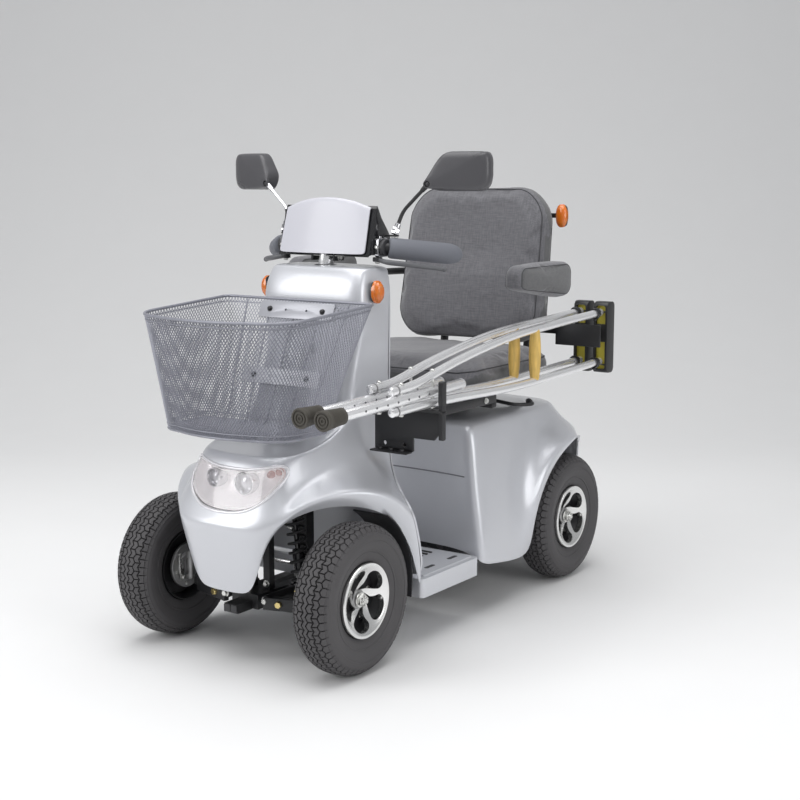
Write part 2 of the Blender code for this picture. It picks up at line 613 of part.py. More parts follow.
def make_wheels():
    """Four cast wheels with pneumatic tyres, each turning about its own axle."""
    spots = {
        "front_left": (TRACK_HALF, FRONT_AXLE_Y), "front_right": (-TRACK_HALF, FRONT_AXLE_Y),
        "rear_left": (TRACK_HALF, REAR_AXLE_Y), "rear_right": (-TRACK_HALF, REAR_AXLE_Y),
    }
    tyre_mesh = turned("tyre", wheel_profile_tyre())
    rim_mesh = turned("rim", wheel_profile_rim(), RIM_STEPS)
    windows = []
    for index in range(5):
        turn = 2 * pi * index / 5
        window = box("window", (-0.012, -0.010, -0.03), (0.013, 0.010, 0.05), collection=CUTTERS)
        lean = Matrix.Translation((0.043, 0, 0)) @ Matrix.Rotation(radians(24), 4, "Z")
        window.matrix_world = Matrix.Rotation(turn, 4, "Z") @ lean
        windows.append(window)
    bpy.context.view_layer.update()
    rim_mesh = cut(rim_mesh, windows)
    for place, (x, y) in spots.items():
        side = 1 if x > 0 else -1
        turn = Matrix.Translation((x, y, TYRE_R)) @ Matrix.Rotation(side * pi / 2, 4, "Y")
        for kind, source, look in (("tyre", tyre_mesh, "tyre_rubber"), ("rim", rim_mesh, "cast_alloy")):
            made = mesh_object(f"{kind}_{place}", source.data.copy())
            made.matrix_world = turn
            finished(made, look)
    for source in (tyre_mesh, rim_mesh):
        bpy.data.objects.remove(source, do_unlink=True)


def make_suspension():
    """Lower arms, shocks, steering knuckles with stub axles, and the tie rod."""
    y, z = FRONT_AXLE_Y, ARM_PIVOT.z
    arm = tube("lower_arm_left", [(0.052, y - 0.040, z), (0.145, y - 0.012, z), (0.168, y, z)], 0.0085)
    links = [tube("arm_rear", [(0.052, y + 0.040, z), (0.145, y + 0.012, z), (0.168, y, z)], 0.0085),
             bar("arm_bush", (0.052, y - 0.048, z), (0.052, y + 0.048, z), 0.011),
             box("arm_saddle", (0.100, y - 0.026, z - 0.008), (0.122, y + 0.026, z + 0.004)),
             bar("arm_joint", (0.167, y, z - 0.010), (0.167, y, z + 0.012), 0.0120)]
    arm = finished(combined(arm, links), "black_metal", ARM_PIVOT)
    mirrored_copy(arm, "lower_arm_right")

    shock = bar("shock_left", (0.108, y, z + 0.016), (0.088, y, 0.3100), 0.0080, steps=8)
    start, end = Vector((0.1065, y, z + 0.030)), Vector((0.0905, y, 0.292))
    coils = 6
    pieces = []
    for index in range(coils):
        centre = start.lerp(end, (index + 0.5) / coils)
        run = (end - start) / coils * 0.28
        pieces.append(bar("coil", centre - run, centre + run, 0.0205, steps=10))
    shock = finished(combined(shock, pieces), "black_metal")
    mirrored_copy(shock, "shock_right")

    knuckle = bar("knuckle_left", (KINGPIN_X, y, TYRE_R - 0.026), (KINGPIN_X, y, TYRE_R + 0.030), 0.0095)
    pieces = [bar("stub_axle", (KINGPIN_X - 0.006, y, TYRE_R), (0.262, y, TYRE_R), AXLE_R),
              bar("knuckle_drum", (KINGPIN_X + 0.004, y, TYRE_R), (KINGPIN_X + 0.014, y, TYRE_R), 0.048,
                  steps=18),
              tube("steer_arm", [(KINGPIN_X - 0.003, y, TYRE_R + 0.018),
                                 (KINGPIN_X - 0.022, y + 0.066, TYRE_R + 0.018)], 0.0065)]
    knuckle = finished(combined(knuckle, pieces), "cast_alloy", (KINGPIN_X, y, TYRE_R))
    mirrored_copy(knuckle, "knuckle_right")

    rod_y, rod_z = y + 0.086, TYRE_R + 0.018
    rod = bar("tie_rod", (-0.172, rod_y, rod_z), (0.172, rod_y, rod_z), 0.0055)
    finished(rod, "bright_tube")


# ---------------------------------------------------------------- steering head
def make_steering():
    """Stem, console, visor, handlebar, grips, levers, controls and mirrors."""
    run = (STEM_TOP - STEM_FOOT).normalized()
    stem = bar("steering_stem", STEM_FOOT + run * 0.014, STEM_TOP - run * 0.020, STEM_R, steps=18)
    finished(stem, "bright_tube", STEM_TOP)

    side_outline = [(-0.204, 0.804), (-0.178, 0.893), (-0.171, 0.897), (-0.158, 0.875), (-0.128, 0.838),
                    (-0.122, 0.808), (-0.130, 0.7995), (-0.196, 0.7995)]
    console = plate("console_housing", side_outline, 0.236, "X", 0.0)
    ends = []
    for side in (-1, 1):
        ends.append(box("clamp", (min(side * 0.110, side * 0.130), -0.190, 0.796),
                        (max(side * 0.110, side * 0.130), -0.146, 0.841), 0.006, 2))
        ends.append(box("perch", (min(side * 0.120, side * 0.1545), -0.1595, 0.8362),
                        (max(side * 0.120, side * 0.1545), -0.1405, 0.8410)))
    console = combined(console, ends)
    tunnel = bar("bar_tunnel", (-0.30, -0.168, BAR_BEND.z), (0.30, -0.168, BAR_BEND.z), 0.0122,
                 collection=CUTTERS)
    socket = bar("stem_socket", STEM_TOP - run * 0.060, STEM_TOP - run * 0.010, STEM_R + 0.0006,
                 collection=CUTTERS, steps=18)
    finished(cut(console, [tunnel, socket]), "black_plastic", STEM_TOP)

    columns = []
    for step in range(9):
        share = step / 8 * 2 - 1
        bow = 0.010 * (1 - share * share)
        crown = 0.018 * (1 - share * share)
        columns.append([(0.1065 * share, -0.1805 - bow * 0.5, 0.8975 + crown),
                        (0.1085 * share, -0.1945 - bow, 0.852), (0.1105 * share, -0.2085 - bow, 0.8015)])
    visor = frozen(moulding("console_visor", columns, 0.0035, outward=True, half=False))
    finished(visor, "grey_plastic", STEM_TOP)

    bar_end = GRIP_START.lerp(GRIP_END, 0.9)
    half_bar = [BAR_BEND, bar_end]
    path = rounded_path([(-x, y, z) for x, y, z in reversed(half_bar)] + half_bar, 0.008, 3)
    finished(tube("handlebar", path, BAR_R), "black_metal", STEM_TOP)
    lean = (GRIP_END - GRIP_START)
    inner_end = lean.length - 0.0105
    shape = [(0.0, lean.length), (0.012, lean.length - 0.001), (GRIP_R * 0.84, lean.length - 0.006),
             (GRIP_R, lean.length - 0.020), (GRIP_R, 0.010), (GRIP_R * 0.95, 0.0), (0.0118, 0.0),
             (0.0118, inner_end), (0.0, inner_end)]
    grip = turned("grip_left", shape, 16, closed=False)
    turn = Vector((0, 0, 1)).rotation_difference(lean.normalized()).to_matrix().to_4x4()
    grip.data.transform(Matrix.Translation(GRIP_START) @ turn)
    finished(grip, "grip_foam", STEM_TOP)
    mirrored_copy(grip, "grip_right")

    for side, name, look in ((-1, "accelerator_lever", "black_plastic"), (1, "brake_lever", "black_metal")):
        pivot = Vector((side * 0.121, -0.1780, 0.7910))
        path = [pivot, (side * 0.150, -0.1880, 0.7865), (side * 0.185, -0.1660, 0.7820),
                (side * 0.235, -0.1050, 0.7710)]
        lever = tube(name, rounded_path(path, 0.02, 3), 0.0045)
        hub = bar("hub", pivot - Vector((0, 0, 0.0045)), pivot + Vector((0, 0, 0.0045)), 0.010)
        finished(combined(lever, [hub]), look, pivot)
    for x, name in ((0.045, "speed_knob"), (-0.045, "key_switch")):
        foot = Vector((x, -0.1415, 0.8590))
        out = Vector((0, 0.78, 0.63))
        finished(bar(name, foot, foot + out * 0.014, 0.013 if x > 0 else 0.008, steps=16),
                 "dark_grey_plastic", foot)
    for x, name in ((0.010, "horn_button"),):
        foot = Vector((x, -0.1375, 0.8545))
        finished(bar(name, foot, foot + Vector((0, 0.78, 0.63)) * 0.005, 0.007, steps=12),
                 "grey_plastic", foot)

    arm = tube("mirror_arm_left", rounded_path([MIRROR_FOOT, MIRROR_ELBOW, MIRROR_NECK], 0.014, 4), 0.0048)
    nut = bar("nut", MIRROR_FOOT, MIRROR_FOOT + (MIRROR_ELBOW - MIRROR_FOOT) * 0.30, 0.0085, steps=6)
    finished(combined(arm, [nut]), "bright_tube", MIRROR_FOOT)
    half = Vector(MIRROR_SIZE) / 2
    shell = rounded_slab("mirror_shell_left", -half, half, 0.022, 0.010, 1, "Y")
    recess = rounded_slab("glass_recess", (-half.x + 0.006, half.y - 0.005, -half.z + 0.006),
                          (half.x - 0.006, half.y + 0.02, half.z - 0.006), 0.017, 0.0, 1, "Y")
    for piece in (shell, recess):
        piece.data.transform(Matrix.Translation(MIRROR_CENTRE) @ Matrix.Rotation(MIRROR_YAW, 4, "Z"))
    neck = bar("neck_hole", MIRROR_NECK - (MIRROR_NECK - MIRROR_ELBOW) * 0.3,
               MIRROR_NECK + (MIRROR_NECK - MIRROR_ELBOW).normalized() * 0.001, 0.0054)
    finished(cut(shell, [recess, neck]), "dark_grey_plastic", MIRROR_NECK)
    for piece in ("mirror_arm", "mirror_shell"):
        mirrored_copy(bpy.data.objects[f"{piece}_left"], f"{piece}_right")


def make_lamps():
    """Amber turn signals on the column and behind the backrest."""
    lamp = rounded_slab("column_lamp_left", (0.1352, -0.220, 0.703), (0.154, -0.189, 0.751), 0.014,
                        0.007, 1, "X")
    lamp.data.transform(Matrix.Translation((-0.006, 0, 0)))
    finished(lamp, "lens_amber")
    mirrored_copy(lamp, "column_lamp_right")
    lamp = rounded_slab("rear_lamp_left", (0.185, 0.4588, 0.838), (0.215, 0.4786, 0.894), 0.012, 0.006,
                        1, "Y")
    finished(lamp, "lens_amber")
    mirrored_copy(lamp, "rear_lamp_right")


# ---------------------------------------------------------------- basket
def basket_ring(half, front, rear, z_front, z_rear, corner_front, corner_rear):
    """One horizontal loop of the basket, with a bowed front and large front corners."""
    flat = half - corner_front
    plan = [(flat * share, front - BASKET_BOW * (1 - share * share)) for share in (-0.5, 0.0, 0.5)]
    plan += arc_points((half - corner_front, front + corner_front), corner_front, -90, 0, 4)
    plan += arc_points((half - corner_rear, rear - corner_rear), corner_rear, 0, 90, 3)
    plan += arc_points((-half + corner_rear, rear - corner_rear), corner_rear, 90, 180, 3)
    plan += arc_points((-half + corner_front, front + corner_front), corner_front, 180, 270, 4)
    return [(x, y, z_front + (z_rear - z_front) * (y - front) / (rear - front)) for x, y in plan]


def make_basket():
    """Open-topped carrier basket; a closed wall and floor with the true outer shape."""
    wall = 0.004
    rim = basket_ring(0.202, -0.585, -0.292, 0.694, 0.712, 0.075, 0.016)
    foot = basket_ring(0.166, -0.556, -0.400, 0.464, 0.466, 0.070, 0.020)
    rim_in = basket_ring(0.202 - wall, -0.585 + wall, -0.292 - wall, 0.694, 0.712, 0.075 - wall, 0.012)
    foot_in = basket_ring(0.166 - wall, -0.556 + wall, -0.400 - wall, 0.464 + wall, 0.466 + wall,
                          0.070 - wall, 0.016)
    bm = bmesh.new()
    loops = [[bm.verts.new(point) for point in ring] for ring in (foot, rim, rim_in, foot_in)]
    count = len(rim)
    for lower, upper in zip(loops, loops[1:]):
        for index in range(count):
            after = (index + 1) % count
            bm.faces.new((lower[index], lower[after], upper[after], upper[index]))
    bm.faces.new(list(reversed(loops[0])))
    bm.faces.new(loops[-1])
    basket = from_bmesh("basket", bm)
    finished(basket, "basket_grey")

    bracket = plate("basket_bracket", [(-0.2855, 0.462), (-0.2610, 0.590), (-0.2530, 0.652),
                                       (-0.311, 0.652),
                                       (-0.322, 0.640), (-0.366, 0.528), (-0.400, 0.4625)], 0.090, "X",
                                       0.0)
    finished(bracket, "black_metal")


# ---------------------------------------------------------------- seat
def make_seat():
    """Seat post and the swivelling seat frame, with the hook behind it for the crutches."""
    finished(bar("seat_post", (0, SEAT_AXIS_Y, 0.205), (0, SEAT_AXIS_Y, 0.4440), 0.0220, steps=20),
             "bright_tube")
    swivel = (0, SEAT_AXIS_Y, 0.445)
    frame = rounded_slab("seat_frame", (-0.150, 0.060, 0.4620), (0.150, 0.380, 0.4740), 0.03, 0.0, 1)
    pieces = [bar("swivel_plate", (0, SEAT_AXIS_Y, 0.4446), (0, SEAT_AXIS_Y, 0.4640), 0.085, steps=24)]
    for side in (-1, 1):
        pieces.append(tube("back_stay", rounded_path([(side * 0.120, 0.345, 0.465),
                                                      (side * 0.120, 0.4405, 0.465),
                                                      (side * 0.120, 0.4890, 0.876)], 0.03, 3), 0.0100))
    arm_end = ARM_PIVOT_Y - 0.006
    corners = [(-0.246, arm_end, 0.722), (-0.246, 0.4735, 0.722), (0.246, 0.4735, 0.722),
               (0.246, arm_end, 0.722)]
    pieces.append(tube("arm_bar", rounded_path(corners, 0.03, 3), 0.0085))
    for side in (-1, 1):
        pieces.append(box("lamp_stalk", (min(side * 0.115, side * 0.208), 0.4792, 0.860),
                          (max(side * 0.115, side * 0.208), 0.4850, 0.872)))
    pieces += [box("hook", (0.215, 0.4170, 0.5600), (0.332, 0.4230, 0.6160)),
               box("hook_arm", (0.110, 0.4920, 0.5800), (0.222, 0.4980, 0.6080)),
               box("hook_link", (0.216, 0.4170, 0.5800), (0.222, 0.4980, 0.6080)),
               box("hook_foot", (0.112, 0.4550, 0.5800), (0.128, 0.4980, 0.6080))]
    return finished(combined(frame, pieces), "black_metal", swivel)


def make_cushions():
    """Cushion, backrest and the two armrest pads with their hinge bars."""
    swivel = (0, SEAT_AXIS_Y, 0.445)
    cushion = rounded_slab("seat_cushion", (-SEAT_HALF, CUSHION_Y[0], CUSHION_Z[0]),
                           (SEAT_HALF, CUSHION_Y[1], CUSHION_Z[1]), 0.055, 0.022, 2)
    finished(cushion, "seat_fabric", swivel)
    back = rounded_slab("seat_back", (-0.208, -0.034, 0.0), (0.208, 0.034, 0.372), 0.075, 0.022, 2, "Y")
    back.data.transform(Matrix.Translation((0, 0.3790, 0.5660)) @ Matrix.Rotation(-BACK_TILT, 4, "X"))
    finished(back, "seat_fabric", swivel)
    arm = rounded_slab("armrest_left", (0.272, 0.066, 0.692), (0.326, 0.290, 0.774), 0.022, 0.012, 1, "X")
    pin = bar("pin", (0.2560, ARM_PIVOT_Y, ARM_PIVOT_Z), (0.280, ARM_PIVOT_Y, ARM_PIVOT_Z), 0.0100)
    finished(combined(arm, [pin]), "seat_fabric", (0.272, ARM_PIVOT_Y, ARM_PIVOT_Z))
    mirrored_copy(bpy.data.objects["armrest_left"], "armrest_right")
    lever = tube("seat_lever", rounded_path([(0.158, 0.200, 0.4560), (0.238, 0.190, 0.4500),
                                             (0.262, 0.235, 0.4480),
                                             (0.225, 0.272, 0.4480)], 0.016, 3), 0.0045)
    finished(lever, "black_metal", (0.158, 0.200, 0.4560))


# ---------------------------------------------------------------- crutches and their carrier
def crutch_x(y, offset):
    """Plan position of a crutch's axis at a given Y."""
    (x0, y0), (x1, y1) = CRUTCH_INNER
    return x0 + (x1 - x0) * (y - y0) / (y1 - y0) + offset


def make_crutch(name, offset):
    """Aluminium underarm crutch: leg, two bows, hand grip and foot, with a separate arm pad."""
    def spot(y, z):
        return (crutch_x(y, offset), y, z)

    leg = tube(f"crutch_{name}", [spot(-0.545, 0.5285), spot(-0.090, 0.5445)], CRUTCH_LEG_R)
    upper = rounded_path([spot(-0.375, 0.5550), spot(-0.300, 0.5585), spot(-0.150, 0.5930),
                          spot(0.060, 0.6250), spot(0.4475, 0.6435)], 0.09, 2)
    lower = rounded_path([spot(-0.375, 0.5140), spot(-0.200, 0.5180), spot(0.060, 0.5110),
                          spot(0.4475, 0.5280)], 0.09, 3)
    pieces = [
        tube("upper_bow", upper, CRUTCH_BOW_R),
        tube("lower_bow", lower, CRUTCH_BOW_R),
        bar("bolt_front", spot(-0.345, 0.505), spot(-0.345, 0.566), 0.0035),
        bar("bolt_rear", spot(-0.240, 0.508), spot(-0.240, 0.578), 0.0035),
        bar("hand_grip", spot(0.152, 0.513), spot(0.152, 0.632), 0.0145),
        bar("foot", spot(-0.585, 0.5270), spot(-0.528, 0.5291), 0.0195, 0.0155, steps=16),
    ]
    finished(combined(leg, pieces), "bright_tube", spot(0.0, 0.55))
    x = crutch_x(0.465, offset)
    pad = rounded_slab(f"crutch_pad_{name}", (x - 0.0175, 0.4485, 0.5000), (x + 0.0175, 0.4860, 0.6680),
                       0.012, 0.007, 1, "X")
    finished(pad, "pad_vinyl", spot(0.0, 0.55))


def make_carrier():
    """Black bracket on the seat frame that both crutches rest on in front."""
    carrier = box("crutch_carrier", (0.156, -0.238, 0.440), (0.322, -0.232, 0.5020), 0.0)
    pieces = [
        box("carrier_bar", (0.2385, -0.240, 0.4720), (0.2585, 0.075, 0.4920)),
        box("carrier_arm", (0.1508, 0.055, 0.4620), (0.2585, 0.075, 0.4740)),
        box("outer_post", (0.3140, -0.242, 0.4420), (0.3220, -0.228, 0.5600)),
        box("cradle", (0.220, -0.245, 0.4960), (0.322, -0.225, 0.5020)),
    ]
    finished(combined(carrier, pieces), "black_metal", (0, SEAT_AXIS_Y, 0.445))


make_front_shell()
make_leg_shield()
make_rear_shell()
make_footboard()
make_mudguards()
make_chassis()
make_drive()
make_wheels()
make_suspension()
make_steering()
make_lamps()
make_basket()
make_seat()
make_cushions()
make_crutch("inner", 0.0)
make_crutch("outer", CRUTCH_SPACING)
make_carrier()
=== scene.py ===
from math import cos, pi, radians, sin, sqrt

import bmesh
import bpy
from mathutils import Matrix, Vector
from mathutils.bvhtree import BVHTree


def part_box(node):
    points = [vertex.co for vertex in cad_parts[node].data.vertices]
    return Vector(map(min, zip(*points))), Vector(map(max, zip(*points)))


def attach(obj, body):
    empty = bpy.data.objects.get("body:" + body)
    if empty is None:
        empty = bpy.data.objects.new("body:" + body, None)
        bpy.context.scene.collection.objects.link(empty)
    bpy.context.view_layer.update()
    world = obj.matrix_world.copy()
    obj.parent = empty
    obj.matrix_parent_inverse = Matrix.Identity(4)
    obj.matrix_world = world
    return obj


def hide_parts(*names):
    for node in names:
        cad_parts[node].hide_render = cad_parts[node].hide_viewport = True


# Mobility scooter: the finished surfaces, materials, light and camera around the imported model.
# Metres, +Z up, front towards -Y, rider's left towards +X.
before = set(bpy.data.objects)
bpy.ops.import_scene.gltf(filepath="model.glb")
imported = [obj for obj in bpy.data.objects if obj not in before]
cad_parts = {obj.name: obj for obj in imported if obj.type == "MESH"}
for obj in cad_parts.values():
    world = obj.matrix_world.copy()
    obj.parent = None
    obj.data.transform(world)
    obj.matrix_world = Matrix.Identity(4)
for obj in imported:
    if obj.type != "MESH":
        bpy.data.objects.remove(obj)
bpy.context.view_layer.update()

ACROSS = Vector((1, 0, 0))
SHELL = 0.004  # wall of the moulded covers
WELD = 0.00001
# wheels and front suspension
TYRE_R = 0.15
TYRE_HALF = 0.043
RIM_R = 0.075
TRACK_HALF = 0.231
FRONT_AXLE_Y = -0.4205
REAR_AXLE_Y = 0.4205
REAR_ARCH_R = 0.2
FRONT_ARM_Z = 0.125
# steering stem, bar, mirrors and console
STEM_TOP = Vector((0.0, -0.186, 0.826))
STEM_FOOT = Vector((0.0, -0.272, 0.338))
BAR_BEND = Vector((0.136, -0.168, 0.815))
GRIP_END = Vector((0.247, -0.052, 0.798))
GRIP_START = BAR_BEND.lerp(GRIP_END, 0.03)
GRIP_R = 0.0215
MIRROR_FOOT = Vector((0.145, -0.15, 0.845))
MIRROR_ELBOW = Vector((0.1525, -0.131, 0.889))
MIRROR_NECK = Vector((0.212, -0.128, 0.944))
MIRROR_CENTRE = Vector((0.271, -0.1, 0.97))
MIRROR_YAW = radians(11.5)
HORN_FOOT = (0.01, -0.1375, 0.8545)
DASH_OUT = Vector((0, 0.78, 0.63))  # the console's face looks up at the rider
DASH_ALONG = Vector((0, -0.63, 0.78))
# basket, seat and crutches
BASKET_BOW = 0.018
BASKET_SHIFT = 0.004
SEAT_AXIS_Y = 0.225
ARM_BAR_Z = 0.722
CRUTCH_INNER = ((0.237, -0.56), (0.2655, 0.47))
CRUTCH_SPACING = 0.052
BOW_BOLTS_Y = (-0.345, -0.24)
PAD_CLIP_Y = 0.424

SCENE = bpy.context.scene


# ---------------------------------------------------------------- mesh helpers
def place(name, mesh):
    """Link a mesh or curve to the scene as a new object."""
    made = bpy.data.objects.new(name, mesh)
    SCENE.collection.objects.link(made)
    return made


def from_bmesh(name, bm):
    """Turn a bmesh into an object."""
    mesh = bpy.data.meshes.new(name)
    bm.to_mesh(mesh)
    bm.free()
    return place(name, mesh)


def from_lists(name, points, faces):
    """Turn point and face lists into an object."""
    mesh = bpy.data.meshes.new(name)
    mesh.from_pydata([tuple(point) for point in points], [], faces)
    mesh.update()
    return place(name, mesh)


def ring_faces(rows, count):
    """Quads between stacked closed rings of equal length."""
    faces = []
    for row in range(rows - 1):
        for k in range(count):
            after = (k + 1) % count
            faces.append((row * count + k, row * count + after, (row + 1) * count + after,
                          (row + 1) * count + k))
    return faces


def axis_turn(across, along, out):
    """The turn that carries X, Y and Z onto three directions."""
    return Matrix((across, along, out)).transposed().to_4x4()


def baked(made):
    """Replace an object's modifiers or curve by the mesh they give, in world space."""
    graph = bpy.context.evaluated_depsgraph_get()
    graph.update()
    mesh = bpy.data.meshes.new_from_object(made.evaluated_get(graph))
    mesh.transform(made.matrix_world)
    bm = bmesh.new()
    bm.from_mesh(mesh)
    bmesh.ops.remove_doubles(bm, verts=bm.verts, dist=WELD)
    bm.to_mesh(mesh)
    bm.free()
    name = made.name
    bpy.data.objects.remove(made, do_unlink=True)
    return place(name, mesh)


def soften(made, width, segments=2, angle=35):
    """Round an object's edges."""
    rounding = made.modifiers.new("rounded", "BEVEL")
    rounding.width = width
    rounding.segments = segments
    rounding.limit_method = "ANGLE"
    rounding.angle_limit = radians(angle)
    return baked(made)


def subdivided(made, levels=2):
    """Subdivide an object into a smooth surface."""
    smooth = made.modifiers.new("smooth", "SUBSURF")
    smooth.levels = levels
    smooth.render_levels = levels
    return baked(made)


def box(name, low, high, bevel=0.0):
    """A box between two corners with rounded edges."""
    low, high = Vector(low), Vector(high)
    bm = bmesh.new()
    bmesh.ops.create_cube(bm, size=1.0)
    bmesh.ops.scale(bm, vec=high - low, verts=bm.verts)
    bmesh.ops.translate(bm, vec=(low + high) / 2, verts=bm.verts)
    made = from_bmesh(name, bm)
    return soften(made, bevel) if bevel else made


def side_box(name, side, low, high, bevel):
    """A box on the left (side 1) or right (side -1), given by its left-hand corners."""
    x0, x1 = sorted((side * low[0], side * high[0]))
    return box(name, (x0, *low[1:]), (x1, *high[1:]), bevel)


def aim(start, end):
    """The turn and place that carry +Z from the origin onto a line from start."""
    run = (Vector(end) - Vector(start)).normalized()
    turn = Vector((0, 0, 1)).rotation_difference(run).to_matrix().to_4x4()
    return Matrix.Translation(Vector(start)) @ turn


def turned(name, profile, start=(0, 0, 0), end=(0, 0, 1), steps=48):
    """A turned shape: (radius, height) points along the line from start towards end."""
    bm = bmesh.new()
    rings = []
    for radius, height in profile:
        if radius < 1e-6:
            rings.append([bm.verts.new((0, 0, height))] * steps)
        else:
            rings.append([bm.verts.new((radius * cos(2 * pi * k / steps),
                                        radius * sin(2 * pi * k / steps), height))
                          for k in range(steps)])
    for lower, upper in zip(rings, rings[1:]):
        for k in range(steps):
            after = (k + 1) % steps
            corners = []
            for vert in (lower[k], lower[after], upper[after], upper[k]):
                if vert not in corners:
                    corners.append(vert)
            if len(corners) > 2:
                bm.faces.new(corners)
    for ring in (rings[0], rings[-1]):
        if ring[0] is not ring[1]:
            bm.faces.new(ring)
    bmesh.ops.recalc_face_normals(bm, faces=bm.faces)
    bm.transform(aim(start, end))
    return from_bmesh(name, bm)


def rod(name, start, end, radius, edge=0.0008, steps=28):
    """A round bar with softened ends."""
    length = (Vector(end) - Vector(start)).length
    profile = [(0, 0), (radius - edge, 0), (radius - edge * 0.3, edge * 0.3), (radius, edge),
               (radius, length - edge), (radius - edge * 0.3, length - edge * 0.3),
               (radius - edge, length), (0, length)]
    return turned(name, profile, start, end, steps)


def tube(name, points, radius, resolution=5, cyclic=False, radii=None):
    """A bent tube along points, as a mesh."""
    curve = bpy.data.curves.new(name, "CURVE")
    curve.dimensions = "3D"
    curve.bevel_depth = radius
    curve.bevel_resolution = resolution
    curve.use_fill_caps = not cyclic
    spline = curve.splines.new("POLY")
    spline.points.add(len(points) - 1)
    for index, (knot, point) in enumerate(zip(spline.points, points)):
        knot.co = (*point, 1.0)
        knot.radius = radii[index] if radii else 1.0
    spline.use_cyclic_u = cyclic
    return baked(place(name, curve))


def rounded_path(corners, radius, steps=8):
    """Points along a polyline whose inner corners are turned by short arcs."""
    corners = [Vector(corner) for corner in corners]
    path = [corners[0]]
    for before, corner, after in zip(corners, corners[1:], corners[2:]):
        back = (before - corner).normalized()
        ahead = (after - corner).normalized()
        reach = min(radius, (before - corner).length / 2, (after - corner).length / 2)
        for step in range(steps + 1):
            t = step / steps
            path.append(corner + back * reach * (1 - t) ** 2 + ahead * reach * t ** 2)
    return path + [corners[-1]]


def plate(name, outline, thickness, axis="X", offset=0.0, bevel=0.0, holes=()):
    """A flat plate from an outline across an axis, with optional holes and rounded edges."""
    curve = bpy.data.curves.new(name, "CURVE")
    curve.dimensions = "2D"
    curve.fill_mode = "BOTH"
    curve.extrude = thickness / 2
    for ring in (outline, *holes):
        spline = curve.splines.new("POLY")
        spline.points.add(len(ring) - 1)
        for knot, (across, up) in zip(spline.points, ring):
            knot.co = (across, up, 0.0, 1.0)
        spline.use_cyclic_u = True
    made = place(name, curve)
    made.matrix_world = {
        "X": Matrix(((0, 0, 1, offset), (1, 0, 0, 0), (0, 1, 0, 0), (0, 0, 0, 1))),
        "Y": Matrix(((1, 0, 0, 0), (0, 0, -1, offset), (0, 1, 0, 0), (0, 0, 0, 1))),
        "Z": Matrix(((1, 0, 0, 0), (0, 1, 0, 0), (0, 0, 1, offset), (0, 0, 0, 1))),
    }[axis]
    bpy.context.view_layer.update()
    made = baked(made)
    return soften(made, bevel) if bevel else made


def circle(centre, radius, steps=20):
    """Points round a circle in a plane."""
    return [(centre[0] + radius * cos(2 * pi * k / steps), centre[1] + radius * sin(2 * pi * k / steps))
            for k in range(steps)]


def arc_points(centre, radius, start, end, steps):
    """Points on an arc in a plane, angles in degrees."""
    turns = [radians(start + (end - start) * step / steps) for step in range(steps + 1)]
    return [(centre[0] + radius * cos(turn), centre[1] + radius * sin(turn)) for turn in turns]


def slab_outline(a0, b0, a1, b1, corner, steps=8):
    """A rectangle with round corners, as plane points."""
    points = []
    for (ca, cb), start in (((a1 - corner, b0 + corner), -90), ((a1 - corner, b1 - corner), 0),
                            ((a0 + corner, b1 - corner), 90), ((a0 + corner, b0 + corner), 180)):
        points += arc_points((ca, cb), corner, start, start + 90, steps)
    return points


def rounded_slab(name, low, high, corner, bevel, axis="Z", segments=4):
    """A slab with round corners in plan and rounded edges."""
    axes = {"Z": (0, 1, 2), "Y": (0, 2, 1), "X": (1, 2, 0)}[axis]
    outline = slab_outline(low[axes[0]], low[axes[1]], high[axes[0]], high[axes[1]], corner)
    made = plate(name, outline, high[axes[2]] - low[axes[2]], axis, (low[axes[2]] + high[axes[2]]) / 2)
    return soften(made, bevel, segments, 50) if bevel else made


def boolean(base, others, operation="DIFFERENCE"):
    """Cut pieces from a base, or keep what they share, and drop them."""
    for other in others:
        step = base.modifiers.new("cut", "BOOLEAN")
        step.operation = operation
        step.solver = "EXACT"
        step.object = other
    made = baked(base)
    for other in others:
        bpy.data.objects.remove(other, do_unlink=True)
    return made


def joined(name, pieces):
    """Put several objects into one, keeping their materials."""
    bm = bmesh.new()
    slots = []
    for piece in pieces:
        before = len(bm.faces)
        mesh = piece.data
        mesh.transform(piece.matrix_world)
        bm.from_mesh(mesh)
        bm.faces.ensure_lookup_table()
        for face in bm.faces[before:]:
            look = mesh.materials[face.material_index] if len(mesh.materials) else None
            if look not in slots:
                slots.append(look)
            face.material_index = slots.index(look)
    for piece in pieces:
        bpy.data.objects.remove(piece, do_unlink=True)
    made = from_bmesh(name, bm)
    for look in slots:
        made.data.materials.append(look)
    return made


def painted(made, look):
    """Give an object one material."""
    made.data.materials.clear()
    made.data.materials.append(look)
    return made


def mirrored(source, name):
    """A copy reflected across the vehicle's centre plane."""
    mesh = source.data.copy()
    mesh.transform(Matrix.Diagonal((-1, 1, 1, 1)) @ source.matrix_world)
    mesh.flip_normals()
    return place(name, mesh)


def shown(made, body, replaces=(), look=None, angle=35):
    """Finish a piece: shading, material, body and the solids it stands for."""
    if look is not None:
        painted(made, look)
    made.data.shade_smooth()
    made.data.set_sharp_from_angle(angle=radians(angle))
    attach(made, body)
    if replaces:
        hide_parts(*replaces)


def both_sides(made, name, body, replaces=(), look=None, angle=35):
    """Finish a left piece and its mirror image; names and bodies hold a star for the side."""
    if look is not None:
        painted(made, look)
    twin = mirrored(made, name.replace("*", "right"))
    made.name = name.replace("*", "left")
    for piece, side in ((made, "left"), (twin, "right")):
        shown(piece, body.replace("*", side), [node.replace("*", side) for node in replaces],
              None, angle)


